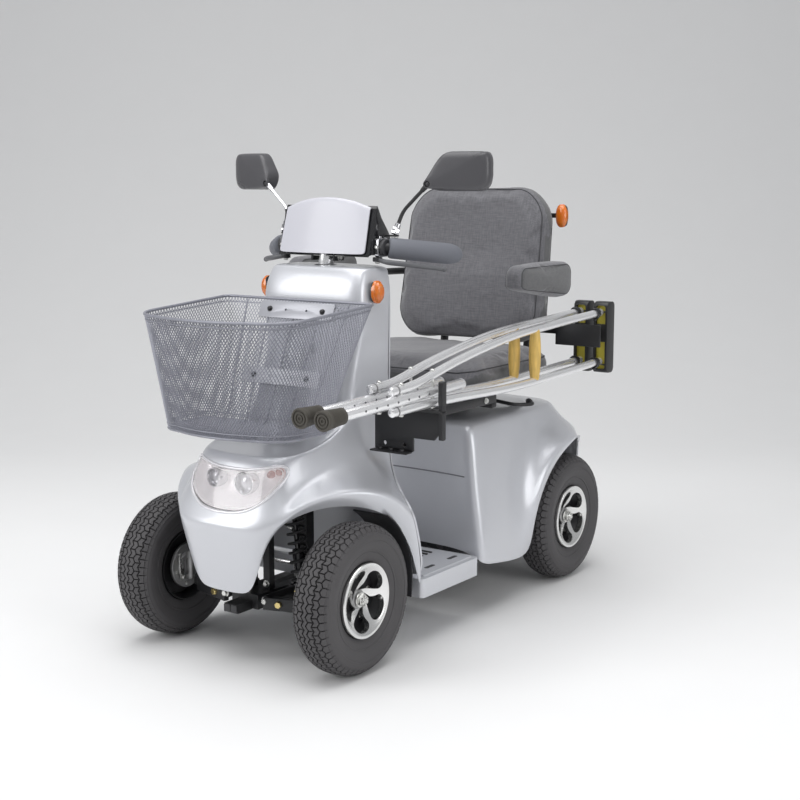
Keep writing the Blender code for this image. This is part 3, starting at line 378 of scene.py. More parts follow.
def smooth_loop(points, steps=5):
    """A closed curve through points."""
    out = []
    count = len(points)
    for k in range(count):
        p0, p1, p2, p3 = (Vector(points[(k + shift) % count]) for shift in (-1, 0, 1, 2))
        for step in range(steps):
            t = step / steps
            out.append(tuple(0.5 * (2 * p1 + (p2 - p0) * t + (2 * p0 - 5 * p1 + 4 * p2 - p3) * t * t
                                    + (3 * p1 - p0 - 3 * p2 + p3) * t ** 3)))
    return out


def moulding(name, columns, thickness=SHELL, levels=2, half=True, outward=False, looks=()):
    """A smooth shell over a grid of points; each column runs from the top edge to the lip.
    Two looks paint its outside and its inside."""
    bm = bmesh.new()
    grid = [[bm.verts.new(point) for point in column] for column in columns]
    for left, right in zip(grid, grid[1:]):
        for corners in zip(left, left[1:], right[1:], right):
            bm.faces.new(corners)
    bmesh.ops.remove_doubles(bm, verts=bm.verts, dist=WELD)
    made = from_bmesh(name, bm)
    if half:
        other_half = made.modifiers.new("other_half", "MIRROR")
        other_half.merge_threshold = 0.00005
        other_half.use_clip = True
    made = subdivided(made, levels)
    wall = made.modifiers.new("wall", "SOLIDIFY")
    wall.thickness = thickness
    wall.offset = 1.0 if outward else -1.0
    wall.use_even_offset = False
    if looks:
        wall.material_offset = 1
    made = baked(made)
    for skin in looks:
        made.data.materials.append(skin)
    return made


def surface_tree(made):
    """A search tree over an object's faces."""
    bm = bmesh.new()
    bm.from_mesh(made.data)
    tree = BVHTree.FromBMesh(bm)
    bm.free()
    return tree


def hex_bolt(name, place_at, out, across=0.01, height=0.004, washer=True):
    """A six-sided bolt head on its washer, standing out of a surface."""
    place_at, out = Vector(place_at), Vector(out).normalized()
    head = turned(name, [(0, 0), (across / 2, 0), (across / 2, height * 0.8),
                         (across * 0.42, height), (0, height)],
                  place_at + out * (0.001 if washer else 0.0), place_at + out * 0.1, 6)
    if not washer:
        return head
    ring = rod(name + "_washer", place_at, place_at + out * 0.0012, across * 0.68, edge=0.0003, steps=20)
    return joined(name, [head, ring])


def bolt_circle(name, centre, radius, count, shift, out, across, height):
    """Small bolts on a circle about an axis along X."""
    bolts = []
    for index in range(count):
        turn = 2 * pi * (index + shift) / count
        spot = Vector((centre[0], centre[1] + radius * cos(turn), centre[2] + radius * sin(turn)))
        bolts.append(painted(hex_bolt(name, spot, (out, 0, 0), across, height, False), ZINC))
    return bolts


# ---------------------------------------------------------------- materials
def wired(tree, kind, feeds=(), **values):
    """A new shader node with its input values, and its inputs fed by other nodes' outputs."""
    node = tree.nodes.new("ShaderNode" + kind)
    for socket, value in values.items():
        node.inputs[socket.replace("_", " ")].default_value = value
    for source, socket in feeds:
        tree.links.new(source, node.inputs[socket])
    return node


def multiplied(tree, colour_out, factor_out):
    """A colour scaled by a shader value."""
    scaled = tree.nodes.new("ShaderNodeVectorMath")
    scaled.operation = "SCALE"
    tree.links.new(colour_out, scaled.inputs[0])
    tree.links.new(factor_out, scaled.inputs["Scale"])
    return scaled.outputs["Vector"]


def look(name, colour, rough, metallic=0.0, spread=0.05, scale=7.0, rough_spread=0.06, grain=0.0,
         grain_scale=700.0, stretch=(1, 1, 1), grain_colour=0.0, **sockets):
    """A material whose colour, gloss and grain vary over the surface."""
    made = bpy.data.materials.new(name)
    made.use_nodes = True
    tree = made.node_tree
    shader = tree.nodes["Principled BSDF"]
    shader.inputs["Metallic"].default_value = metallic
    for socket, value in sockets.items():
        shader.inputs[socket.replace("_", " ")].default_value = value
    where = wired(tree, "TexCoord").outputs["Object"]
    cloud = wired(tree, "TexNoise", [(where, "Vector")], Scale=scale, Detail=5.0).outputs["Fac"]
    fine_place = wired(tree, "Mapping", [(where, "Vector")], Scale=stretch).outputs["Vector"]
    fine = wired(tree, "TexNoise", [(fine_place, "Vector")], Scale=grain_scale, Detail=3.0).outputs["Fac"]

    def shade(factor):
        return tuple(min(1.0, channel * factor) for channel in colour[:3]) + (1.0,)

    blend = tree.nodes.new("ShaderNodeMix")
    blend.data_type = "RGBA"
    blend.inputs[6].default_value = shade(1 - spread)
    blend.inputs[7].default_value = shade(1 + spread)
    tree.links.new(cloud, blend.inputs["Factor"])
    colour_out = blend.outputs[2]
    if grain_colour:
        speck = wired(tree, "MapRange", [(fine, "Value")], From_Min=0.3, From_Max=0.7,
                      To_Min=1 - grain_colour, To_Max=1 + grain_colour)
        colour_out = multiplied(tree, colour_out, speck.outputs["Result"])
    tree.links.new(colour_out, shader.inputs["Base Color"])
    gloss = wired(tree, "MapRange", [(cloud, "Value")], To_Min=max(0.02, rough - rough_spread),
                  To_Max=min(1.0, rough + rough_spread))
    tree.links.new(gloss.outputs["Result"], shader.inputs["Roughness"])
    if grain:
        bump = wired(tree, "Bump", [(fine, "Height")], Strength=grain, Distance=0.0006)
        tree.links.new(bump.outputs["Normal"], shader.inputs["Normal"])
    return made


def woven(name, colour, thread=430.0, depth=0.5, heather=0.2):
    """Woven cloth: two crossed sets of threads with lighter heather streaks along one of them."""
    made = look(name, colour, 0.92, spread=0.07, scale=5.0, grain_scale=1.0, Sheen_Weight=0.35,
                Sheen_Roughness=0.5)
    tree = made.node_tree
    shader = tree.nodes["Principled BSDF"]
    where = [node for node in tree.nodes if node.type == "TEX_COORD"][0]
    heights = []
    for stretch in ((0.1, 1.0, 1.0), (1.0, 0.12, 0.12)):
        turn = wired(tree, "Mapping", [(where.outputs["Object"], "Vector")], Scale=stretch)
        threads = wired(tree, "TexNoise", [(turn.outputs["Vector"], "Vector")], Scale=thread, Detail=4.0)
        heights.append(threads.outputs["Fac"])
    both = wired(tree, "Math", [(heights[0], 0), (heights[1], 1)])
    both.operation = "ADD"
    spread = wired(tree, "MapRange", [(both.outputs["Value"], "Value")], From_Min=0.75, From_Max=1.25,
                   To_Min=1 - heather, To_Max=1 + heather)
    plain = shader.inputs["Base Color"].links[0].from_socket
    tree.links.new(multiplied(tree, plain, spread.outputs["Result"]), shader.inputs["Base Color"])
    bump = wired(tree, "Bump", [(both.outputs["Value"], "Height")], Strength=depth, Distance=0.0008)
    tree.links.new(bump.outputs["Normal"], shader.inputs["Normal"])
    return made


SILVER = look("silver_lacquer", (0.61, 0.62, 0.655), 0.33, 0.35, spread=0.015, scale=3.0, rough_spread=0.03,
              grain=0.03, grain_scale=1800.0, grain_colour=0.03, Coat_Weight=0.6, Coat_Roughness=0.08)
# Black powder coat for the frame parts; on the rim barrel it also paints the shade seen through the rim's
# windows.
BLACK_METAL_AND_BARREL_SHADE = look("black_powder_coat_and_barrel_shade", (0.022, 0.022, 0.024), 0.42, 0.2, spread=0.25, scale=18.0,
                   rough_spread=0.12, grain=0.25, grain_scale=900.0)
BLACK_PLASTIC = look("black_moulded_plastic", (0.028, 0.028, 0.031), 0.45, spread=0.15, grain=0.25,
                     grain_scale=1100.0)
BLACK_GLOSS = look("black_gloss_plastic", (0.012, 0.012, 0.014), 0.12, spread=0.1, rough_spread=0.03,
                   grain=0.02, Coat_Weight=0.5, Coat_Roughness=0.05)
GREY_GLOSS = look("light_grey_gloss_plastic", (0.56, 0.56, 0.61), 0.34, spread=0.02, rough_spread=0.04,
                  grain=0.02, grain_scale=1500.0, Coat_Weight=0.35, Coat_Roughness=0.15)
DARK_GREY = look("dark_grey_plastic", (0.072, 0.071, 0.077), 0.28, spread=0.08, grain=0.12,
                 grain_scale=1300.0)
FOAM = look("grip_foam", (0.15, 0.157, 0.18), 0.72, spread=0.05, scale=20.0, grain=0.35, grain_scale=1400.0,
            grain_colour=0.05)
RUBBER = look("tyre_rubber", (0.024, 0.024, 0.025), 0.62, spread=0.3, scale=14.0, rough_spread=0.12,
              grain=0.3, grain_scale=900.0, grain_colour=0.15)
SOFT_RUBBER = look("grey_brown_rubber", (0.062, 0.056, 0.046), 0.6, spread=0.2, scale=30.0, grain=0.3,
                   grain_scale=1200.0)
ALLOY = look("cast_alloy", (0.82, 0.82, 0.81), 0.24, 1.0, spread=0.04, scale=25.0, rough_spread=0.08,
             grain=0.1, grain_scale=1500.0)
# Dull cast alloy for drums and cases; on the rim face it also paints the shade round the hub.
DULL_ALLOY_AND_HUB_SHADE = look("sand_cast_alloy_and_hub_shade", (0.42, 0.42, 0.42), 0.48, 1.0, spread=0.15, scale=40.0, grain=0.4,
                  grain_scale=1100.0)
POLISHED = look("polished_tube", (0.93, 0.93, 0.94), 0.24, 0.75, spread=0.03, scale=14.0, rough_spread=0.05,
                grain=0.05, grain_scale=900.0, stretch=(1, 0.05, 1))
CHROME = look("chrome", (0.62, 0.62, 0.64), 0.1, 1.0, spread=0.03, rough_spread=0.03)
ZINC = look("zinc_bolt", (0.7, 0.7, 0.68), 0.28, 1.0, spread=0.1, scale=60.0, rough_spread=0.1)
BRASS = look("yellow_zinc_bolt", (0.72, 0.58, 0.26), 0.3, 1.0, spread=0.12, scale=60.0, rough_spread=0.1)
BASKET_GREY = look("grey_coated_wire", (0.27, 0.275, 0.315), 0.38, 0.3, spread=0.12, scale=30.0,
                   rough_spread=0.1, grain=0.1, grain_scale=900.0)
WOOD_AMBER = look("amber_turned_grip", (0.66, 0.44, 0.12), 0.42, spread=0.22, scale=40.0, rough_spread=0.08,
                  grain=0.15, grain_scale=160.0, stretch=(1, 1, 0.12), grain_colour=0.18)
PAD_YELLOW = look("yellow_pad_foam", (0.66, 0.57, 0.07), 0.6, spread=0.12, scale=30.0, grain=0.3,
                  grain_scale=900.0)
VINYL = look("black_vinyl", (0.02, 0.02, 0.021), 0.36, spread=0.2, scale=30.0, grain=0.3, grain_scale=600.0)
AMBER = look("amber_lens", (0.7, 0.17, 0.012), 0.14, spread=0.12, scale=45.0, rough_spread=0.04,
             Coat_Weight=1.0, Coat_Roughness=0.03, Subsurface_Weight=0.25, Subsurface_Scale=0.01)
# The bowl's faint emission is painted light: it brightens the bowl and the inner line as if light came in
# through the lens.
LAMP_BOWL_PAINTED_GLOW = look("lamp_bowl_painted_glow", (0.97, 0.94, 0.95), 0.3, 0.15, spread=0.05, scale=25.0,
                 Emission_Strength=0.16)
MIRROR = look("mirror_glass", (0.86, 0.88, 0.9), 0.03, 1.0, spread=0.01, rough_spread=0.01)
CLEAR = look("clear_lens", (0.97, 0.95, 0.96), 0.06, spread=0.01, rough_spread=0.02, Transmission_Weight=0.9,
             IOR=1.49)
SEAT_CLOTH = woven("charcoal_weave", (0.128, 0.127, 0.138))
SIDE_CLOTH = woven("charcoal_side_weave", (0.092, 0.093, 0.096), thread=700.0, depth=0.4, heather=0.12)
# Dark cord for the seat piping and the zip; on the floor it also paints the shade inside the drain slots.
PIPING_AND_SLOT_SHADE = look("dark_piping_and_slot_shade", (0.045, 0.045, 0.05), 0.7, spread=0.15, scale=40.0, grain=0.3,
              grain_scale=900.0)


# ---------------------------------------------------------------- body
def column_section(yf, front_half, z, rear_half=0.134):
    """One horizontal section of the steering column cover, front centre to rear edge."""
    yr = -0.16
    share = (0.0, 0.38, 0.72, 0.92, 0.99)
    back = (0.0, 0.0, 0.001, 0.005, 0.014)
    points = [(front_half * s, yf + b, z) for s, b in zip(share, back)]
    for t in (0.2, 0.32, 0.46, 0.62, 0.78, 0.91, 1.0):
        points.append((front_half + (rear_half - front_half) * t, yf + 0.014 + (yr - yf - 0.014) * t, z))
    return points


def front_cowl_columns():
    """Columns of the nose, fender and column cover, from the front centre to the rear edge."""
    pole = (0.0, -0.15, 0.778)
    rings = [[pole] * 12]
    inner = [(0.0, -0.228), (0.04, -0.228), (0.08, -0.227), (0.104, -0.223), (0.112, -0.215),
             (0.115, -0.205), (0.117, -0.196), (0.118, -0.188), (0.119, -0.179), (0.119, -0.169),
             (0.119, -0.159), (0.115, -0.15)]
    rings.append([(x, y, 0.778) for x, y in inner])
    rings.append(column_section(-0.236, 0.122, 0.771))
    rings.append(column_section(-0.243, 0.124, 0.758, 0.135))
    rings.append(column_section(-0.258, 0.131, 0.722, 0.137))
    rings.append(column_section(-0.25, 0.129, 0.66, 0.136))
    below = [
        # nose centre
        [(0, -.262, .57), (0, -.285, .445), (0, -.462, .416), (0, -.483, .421), (0, -.495, .409),
         (0, -.516, .36), (0, -.537, .315), (0, -.556, .292), (0, -.551, .272), (0, -.541, .21),
         (0, -.530, .152)],
        [(.045, -.262, .57), (.045, -.285, .445), (.045, -.460, .416), (.046, -.481, .421),
         (.047, -.493, .409), (.048, -.514, .36), (.050, -.535, .315), (.050, -.554, .292),
         (.048, -.550, .272), (.044, -.540, .21), (.040, -.530, .153)],
        [(.084, -.262, .57), (.084, -.286, .446), (.082, -.450, .417), (.086, -.471, .422),
         (.089, -.487, .410), (.094, -.509, .362), (.098, -.529, .318), (.096, -.545, .295),
         (.090, -.545, .274), (.078, -.538, .212), (.067, -.528, .158)],
        # nose corner and the side of the beak
        [(.108, -.258, .57), (.106, -.292, .452), (.104, -.438, .418), (.109, -.454, .424),
         (.113, -.466, .411), (.118, -.490, .368), (.123, -.512, .328), (.119, -.533, .301),
         (.112, -.532, .282), (.100, -.532, .245), (.088, -.530, .208)],
        [(.116, -.249, .57), (.115, -.285, .466), (.113, -.392, .424), (.121, -.404, .431),
         (.126, -.417, .419), (.131, -.446, .382), (.137, -.480, .350), (.137, -.508, .321),
         (.132, -.517, .304), (.120, -.523, .286), (.107, -.527, .266)],
        # side of the nose, then the fender over the wheel
        [(.119, -.238, .575), (.118, -.270, .500), (.118, -.335, .440), (.126, -.345, .446),
         (.131, -.359, .431), (.138, -.396, .396), (.147, -.438, .367), (.160, -.488, .340),
         (.158, -.494, .327), (.146, -.502, .315), (.131, -.508, .303)],
        [(.121, -.226, .58), (.122, -.252, .525), (.122, -.298, .468), (.128, -.305, .468),
         (.133, -.312, .450), (.141, -.345, .408), (.158, -.392, .376), (.186, -.446, .356),
         (.185, -.450, .346), (.177, -.456, .336), (.166, -.462, .325)],
        [(.124, -.212, .58), (.125, -.230, .53), (.127, -.258, .488), (.129, -.264, .470),
         (.134, -.272, .444), (.144, -.304, .405), (.170, -.350, .376), (.218, -.396, .362),
         (.218, -.398, .352), (.213, -.400, .341), (.205, -.402, .329)],
        [(.128, -.197, .58), (.129, -.208, .53), (.130, -.225, .488), (.132, -.230, .462),
         (.136, -.238, .432), (.148, -.262, .396), (.184, -.306, .369), (.246, -.346, .352),
         (.248, -.346, .342), (.245, -.345, .328), (.239, -.343, .312)],
        [(.131, -.181, .58), (.132, -.187, .53), (.132, -.197, .488), (.134, -.201, .458),
         (.138, -.208, .424), (.152, -.226, .386), (.194, -.270, .360), (.261, -.308, .335),
         (.264, -.304, .322), (.262, -.298, .304), (.254, -.291, .276)],
        [(.133, -.168, .58), (.1335, -.171, .53), (.134, -.176, .488), (.135, -.178, .456),
         (.140, -.184, .414), (.155, -.200, .376), (.200, -.246, .348), (.268, -.286, .314),
         (.270, -.278, .294), (.268, -.262, .250), (.261, -.251, .206)],
        [(.134, -.160, .58), (.134, -.160, .53), (.134, -.160, .488), (.135, -.161, .455),
         (.139, -.165, .408), (.153, -.180, .368), (.201, -.230, .338), (.270, -.279, .306),
         (.2715, -.264, .280), (.2705, -.239, .200), (.2665, -.232, .112)],
    ]
    return [[ring[index] for ring in rings] + below[index] for index in range(12)]


def headlight_outline(grow):
    """Front view of the crescent headlight, (across, up), grown all round by a margin."""
    right = [(0.0, 0.3915), (0.036, 0.393), (0.07, 0.3985), (0.094, 0.4035), (0.1075, 0.4015),
             (0.113, 0.3915), (0.1115, 0.377), (0.103, 0.359), (0.086, 0.3395), (0.06, 0.3245),
             (0.031, 0.318)]
    left = [(-x, z) for x, z in reversed(right[1:])]
    curve = smooth_loop([*right, (0.0, 0.3165), *left], 3)
    middle = Vector((0.0, 0.362))
    out = []
    for point in curve:
        away = (Vector(point) - middle)
        away.y *= 2.2
        out.append(tuple(Vector(point) + away.normalized() * grow))
    return out


def rear_lip(turn, x):
    """A point of the rear wheel arch, by its angle up from the front of the wheel."""
    return (x, REAR_AXLE_Y - REAR_ARCH_R * cos(radians(turn)),
            TYRE_R + REAR_ARCH_R * sin(radians(turn)))


def rear_cowl_columns():
    """Columns of the seat pedestal and rear fenders, from the front centre to the tail centre."""
    pole = (0.0, 0.225, 0.432)
    columns = [
        [(0, .050, .428), (0, .040, .416), (0, .036, .36), (0, .032, .30), (0, .027, .24),
         (0, .021, .175), (0, .020, .151)],
        [(.10, .048, .428), (.105, .037, .416), (.108, .033, .36), (.110, .029, .30),
         (.114, .024, .24), (.118, .018, .175), (.118, .017, .151)],
        [(.18, .040, .428), (.190, .029, .416), (.200, .023, .36), (.206, .019, .30),
         (.216, .014, .24), (.228, .009, .175), (.230, .008, .151)],
        [(.206, .034, .429), (.221, .018, .417), (.234, .007, .37), (.242, .003, .30),
         (.255, .001, .235), (.268, -.001, .165), (.271, -.001, .128)],
        [(.212, .060, .430), (.228, .054, .418), (.241, .046, .37), (.249, .042, .30),
         (.260, .040, .232), (.271, .038, .155), (.272, .038, .121)],
        [(.213, .115, .431), (.228, .112, .419), (.240, .105, .37), (.248, .100, .30),
         (.259, .098, .226), (.269, .098, .148), (.270, .098, .112)],
        [(.212, .180, .431), (.225, .176, .419), (.233, .166, .37), (.240, .156, .30),
         (.251, .152, .222), (.264, .152, .142), (.266, .152, .104)],
        [(.210, .245, .431), (.222, .238, .419), (.229, .222, .375), (.241, .200, .305),
         (.262, .190, .222), (.272, .192, .142), rear_lip(-14, .262)],
        [(.208, .290, .431), (.220, .284, .419), (.227, .268, .382), (.246, .236, .325),
         (.276, .214, .250), (.281, .212, .190), rear_lip(8, .274)],
        [(.206, .330, .431), (.218, .325, .419), (.226, .314, .388), (.250, .282, .350),
         (.284, .246, .302), (.288, .240, .272), rear_lip(32, .281)],
        [(.203, .368, .430), (.215, .365, .418), (.225, .360, .390), (.254, .342, .368),
         (.287, .308, .344), (.291, .302, .331), rear_lip(57, .285)],
        [(.198, .405, .429), (.210, .406, .416), (.224, .408, .390), (.256, .404, .375),
         (.288, .382, .361), (.293, .379, .352), rear_lip(82, .288)],
        [(.186, .438, .428), (.198, .445, .414), (.218, .452, .384), (.250, .456, .367),
         (.266, .441, .353), (.271, .439, .344), rear_lip(99, .267)],
        [(.164, .462, .427), (.174, .474, .412), (.194, .492, .378), (.223, .503, .357),
         (.234, .492, .340), (.239, .491, .329), rear_lip(115, .235)],
        [(.130, .476, .426), (.136, .490, .411), (.154, .517, .372), (.184, .544, .346),
         (.209, .552, .320), (.214, .556, .296), (.210, .563, .262)],
        [(.090, .484, .426), (.094, .498, .410), (.112, .530, .370), (.132, .570, .342),
         (.158, .585, .303), (.164, .590, .230), (.161, .588, .165)],
        [(.045, .487, .426), (.047, .501, .410), (.056, .536, .369), (.075, .580, .343),
         (.095, .598, .304), (.098, .602, .230), (.096, .600, .162)],
        [(0, .488, .426), (0, .502, .410), (0, .537, .368), (0, .582, .343), (0, .599, .304),
         (0, .603, .230), (0, .601, .162)],
    ]
    for column in columns:
        x, y, _ = column[0]
        half_way = (x * 0.55, pole[1] + (y - pole[1]) * 0.55, 0.432)
        column[:0] = [pole, half_way]
    return columns


def make_front_shell():
    """The silver nose with its headlight: glass, lip, bowl, two projectors and two small bulbs."""
    cowl = moulding("front_cowl_skin", front_cowl_columns(), looks=(SILVER, BLACK_PLASTIC))
    glass = moulding("headlight_glass", front_cowl_columns(), thickness=0.0028)
    skin = surface_tree(cowl)
    hole = plate("lamp_hole", headlight_outline(0.0), 0.14, "Y", -0.5)
    stem_hole = rod("stem_hole", STEM_TOP, STEM_FOOT, 0.024)
    cowl = boolean(cowl, [hole, stem_hole])
    keep = plate("lamp_keep", headlight_outline(-0.0009), 0.14, "Y", -0.5)
    glass = boolean(glass, [keep], "INTERSECT")
    shown(cowl, "chassis", ["front_cowl"])
    shown(glass, "chassis", ["headlight_lens"], CLEAR)

    def on_skin(x, z, depth=0.0):
        hit = skin.ray_cast(Vector((x, -0.9, z)), Vector((0, 1, 0)))[0]
        return Vector((x, (hit.y if hit else -0.45) + depth, z))

    def loop(grow, depth):
        return [on_skin(x, z, depth) for x, z in dense(headlight_outline(grow), 5)]

    lip = tube("headlight_lip", loop(0.0026, 0.0004), 0.003, cyclic=True)
    shown(lip, "chassis", look=LIP_SILVER)
    # The inner line takes the faintly glowing bowl material: painted light.
    inner_line = tube("headlight_inner_line", loop(-0.0055, 0.004), 0.0012, cyclic=True)
    shown(inner_line, "chassis", look=LAMP_BOWL_PAINTED_GLOW)
    rings = [loop(-0.0018, 0.0045), loop(-0.004, 0.012), loop(-0.009, 0.022), loop(-0.016, 0.03),
             loop(-0.028, 0.035)]
    points = [point for ring in rings for point in ring]
    count = len(rings[0])
    faces = ring_faces(len(rings), count)
    faces.append([(len(rings) - 1) * count + k for k in range(count)])
    bowl = from_lists("headlight_bowl", points, faces)
    wall = bowl.modifiers.new("wall", "SOLIDIFY")
    wall.thickness = 0.002
    wall.offset = 0.0
    bowl = baked(bowl)
    # The bowl glows faintly: painted light inside the lamp.
    pieces = [painted(bowl, LAMP_BOWL_PAINTED_GLOW)]
    for x, z, radius in ((0.026, 0.366, 0.0235), (-0.05, 0.368, 0.02)):
        front = on_skin(x, z, 0.0)
        seat = front + Vector((0, 0.034, 0))
        out = Vector((0.1 if x > 0 else -0.16, -1, 0)).normalized()
        cup = turned("projector", [(radius, 0.0), (radius, 0.02), (radius - 0.001, 0.022),
                                   (radius - 0.0028, 0.022), (radius - 0.004, 0.019),
                                   (radius - 0.007, 0.008), (0, 0.007)], seat, seat + out)
        ball = turned("projector_lens", [(radius - 0.006, 0.008), (radius * 0.66, 0.0125),
                                         (radius * 0.42, 0.0165), (radius * 0.2, 0.0185), (0, 0.019)],
                      seat, seat + out)
        pieces += [painted(cup, CHROME), painted(ball, LENS_BALL)]
    for x, z in ((0.078, 0.386), (0.093, 0.392)):
        seat = on_skin(x, z, 0.024)
        bulb = turned("side_bulb", [(0.0075, 0.0), (0.0075, 0.004), (0.006, 0.01), (0.003, 0.0125),
                                    (0, 0.013)], seat, seat + Vector((0.3, -1, 0)))
        pieces.append(painted(bulb, PINK_BULB))
    bowl = joined("headlight_inner", pieces)
    shown(bowl, "chassis", ["headlight_reflector"])


def dense(outline, times):
    """More points along a closed outline."""
    points = []
    for (a, b), (c, d) in zip(outline, outline[1:] + outline[:1]):
        points += [(a + (c - a) * k / times, b + (d - b) * k / times) for k in range(times)]
    return points


def make_leg_shield():
    """Rear-facing panel that closes the nose towards the rider's legs."""
    edge = [(.133, -.1545, .770), (.134, -.1580, .66), (.134, -.159, .53), (.135, -.160, .455),
            (.139, -.164, .408), (.153, -.179, .368), (.201, -.229, .338), (.270, -.278, .306),
            (.2715, -.263, .280), (.2705, -.238, .200), (.2685, -.234, .151)]
    centre_y = (-.149, -.149, -.152, -.156, -.160, -.164, -.168, -.173, -.177, -.188, -.200)
    columns = []
    for share, follow in ((0.0, 0.0), (0.42, 0.04), (0.76, 0.35), (1.0, 1.0)):
        column = []
        for (x, y, z), middle in zip(edge, centre_y):
            top = 0.777 if z == 0.77 and share < 1.0 else z
            column.append((x * share, middle + (y + 0.0008 - middle) * follow, top))
        columns.append(column)
    columns.reverse()
    shield = moulding("leg_shield_skin", columns, looks=(SILVER, BLACK_PLASTIC))
    shield.data.transform(Matrix.Translation((0, 0.0058, 0)))
    shown(shield, "chassis", ["leg_shield"])


def make_rear_shell():
    """Seat pedestal with the rear fenders, its post opening and parting line."""
    cowl = moulding("rear_cowl_skin", rear_cowl_columns(), looks=(SILVER, BLACK_PLASTIC))
    skin = surface_tree(cowl)
    notch = box("post_notch", (-0.056, -0.05, 0.357), (0.056, 0.115, 0.5), 0.006)
    post_hole = rod("post_hole", (0, SEAT_AXIS_Y, 0.4), (0, SEAT_AXIS_Y, 0.46), 0.034)
    cowl = boolean(cowl, [notch, post_hole])
    shown(cowl, "chassis", ["rear_cowl"])
    line = []
    for k in range(61):
        x = -0.215 + 0.43 * k / 60
        hit = skin.ray_cast(Vector((x, -0.3, 0.312)), Vector((0, 1, 0)))[0]
        if hit:
            line.append(Vector((x, hit.y + 0.0004, 0.312)))
    groove = tube("rear_cowl_parting_line", line, 0.0016)
    shown(groove, "chassis", look=SEAM)


def make_footboard():
    """The flat floor with its raised side edges, ribs and drain slots; the slots are flat dark insets,
    painted shade.
    """
    low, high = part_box("footboard")
    board = rounded_slab("footboard_skin", low, (high.x, high.y, high.z - 0.003), 0.012, 0.006)
    pieces = [painted(board, SILVER)]
    for k in range(9):
        y = -0.185 + k * 0.018
        rib = box("floor_rib", (-0.165, y, high.z - 0.004), (0.165, y + 0.006, high.z - 0.0005), 0.0012)
        pieces.append(painted(rib, RUBBER))
    for side in (-1, 1):
        for y in (-0.15, -0.062):
            # Each drain slot is a flat dark inset: painted shade inside the slot.
            slot = rounded_slab("floor_slot", (side * 0.222 - 0.005, y, high.z - 0.0034),
                                (side * 0.222 + 0.005, y + 0.034, high.z - 0.0028), 0.0045, 0.0)
            pieces.append(painted(slot, PIPING_AND_SLOT_SHADE))
        edge = tube("floor_edge", [(side * 0.252, -0.205, high.z - 0.0045),
                    (side * 0.252, -0.02, high.z - 0.0045)], 0.0042)
        pieces.append(painted(edge, SILVER))
    shown(joined("footboard_finish", pieces), "chassis", ["footboard"])


def make_mudguards():
    """Black liners behind the front wheels."""
    centre = (FRONT_AXLE_Y, TYRE_R)
    outer = arc_points(centre, 0.1755, -12, 60, 28)
    inner = arc_points(centre, 0.1725, 60, -12, 28)
    guard = plate("mudguard", outer + inner, 0.085, "X", 0.2125, 0.0007)
    both_sides(guard, "front_mudguard_skin_*", "chassis", ["front_mudguard_*"],
               BLACK_PLASTIC)


LIP_SILVER = look("lamp_lip", (0.78, 0.77, 0.8), 0.2, 0.3, spread=0.02, Coat_Weight=0.6)
SEAM = look("seam_shadow", (0.2, 0.2, 0.22), 0.5, spread=0.1)
LENS_BALL = look("lamp_lens_ball", (0.7, 0.72, 0.76), 0.05, 0.35, spread=0.05, Coat_Weight=0.8)
PINK_BULB = look("side_bulb", (0.78, 0.52, 0.48), 0.15, 0.1, spread=0.06, Coat_Weight=0.6)

make_front_shell()
make_leg_shield()
make_rear_shell()
make_footboard()
make_mudguards()


# ---------------------------------------------------------------- wheels
TREAD_WAVES = 54
WAVE_PHASES = (0.0, 0.085, 0.25, 0.415, 0.5, 0.585, 0.75, 0.915)
GROOVE_DEPTH = 0.0056
LINK_DEPTH = 0.005
# (arc length from the crown, depth share, row) from the middle rib out to the shoulder
TREAD_HALF = ((0.0036, 0, 0), (0.0042, 1, 0), (0.0064, 1, 0), (0.007, 0, 1), (0.0156, 0, 1),
              (0.0162, 1, 1), (0.0184, 1, 1), (0.019, 0, 2), (0.0276, 0, 2), (0.0282, 1, 2),
              (0.0302, 1, 2), (0.0308, 0, 3), (0.04, 0, 3), (0.0408, 0.45, 3))
SIDEWALL = ((0.131, 0.04), (0.1285, 0.0404), (0.127, 0.0414), (0.1215, 0.0424), (0.1195, 0.0424),
            (0.1188, 0.0416), (0.1172, 0.0418), (0.111, 0.0412), (0.102, 0.0388), (0.0975, 0.0368),
            (0.0965, 0.0373), (0.0945, 0.0366), (0.0938, 0.0352), (0.09, 0.0344), (0.0845, 0.0326),
            (0.079, 0.0304), (0.0757, 0.0285))


def section_points():
    """The tyre's crown as (arc length, radius, across) from the middle to the shoulder."""
    core, power = 0.118, 2.0 / 2.5
    rows = []
    length = 0.0
    for k in range(241):
        turn = radians(80) * k / 240
        across = TYRE_HALF * 0.985 * sin(turn) ** power
        radius = core + (TYRE_R - core) * cos(turn) ** power
        if rows:
            length += sqrt((radius - rows[-1][1]) ** 2 + (across - rows[-1][2]) ** 2)
        rows.append((length, radius, across))
    return rows


def on_section(rows, arc):
    """Radius and across at an arc length, on either side of the middle."""
    side = -1 if arc < 0 else 1
    reach = abs(arc)
    for (l0, r0, a0), (l1, r1, a1) in zip(rows, rows[1:]):
        if l1 >= reach:
            share = (reach - l0) / (l1 - l0)
            return r0 + (r1 - r0) * share, side * (a0 + (a1 - a0) * share)
    return rows[-1][1], side * rows[-1][2]


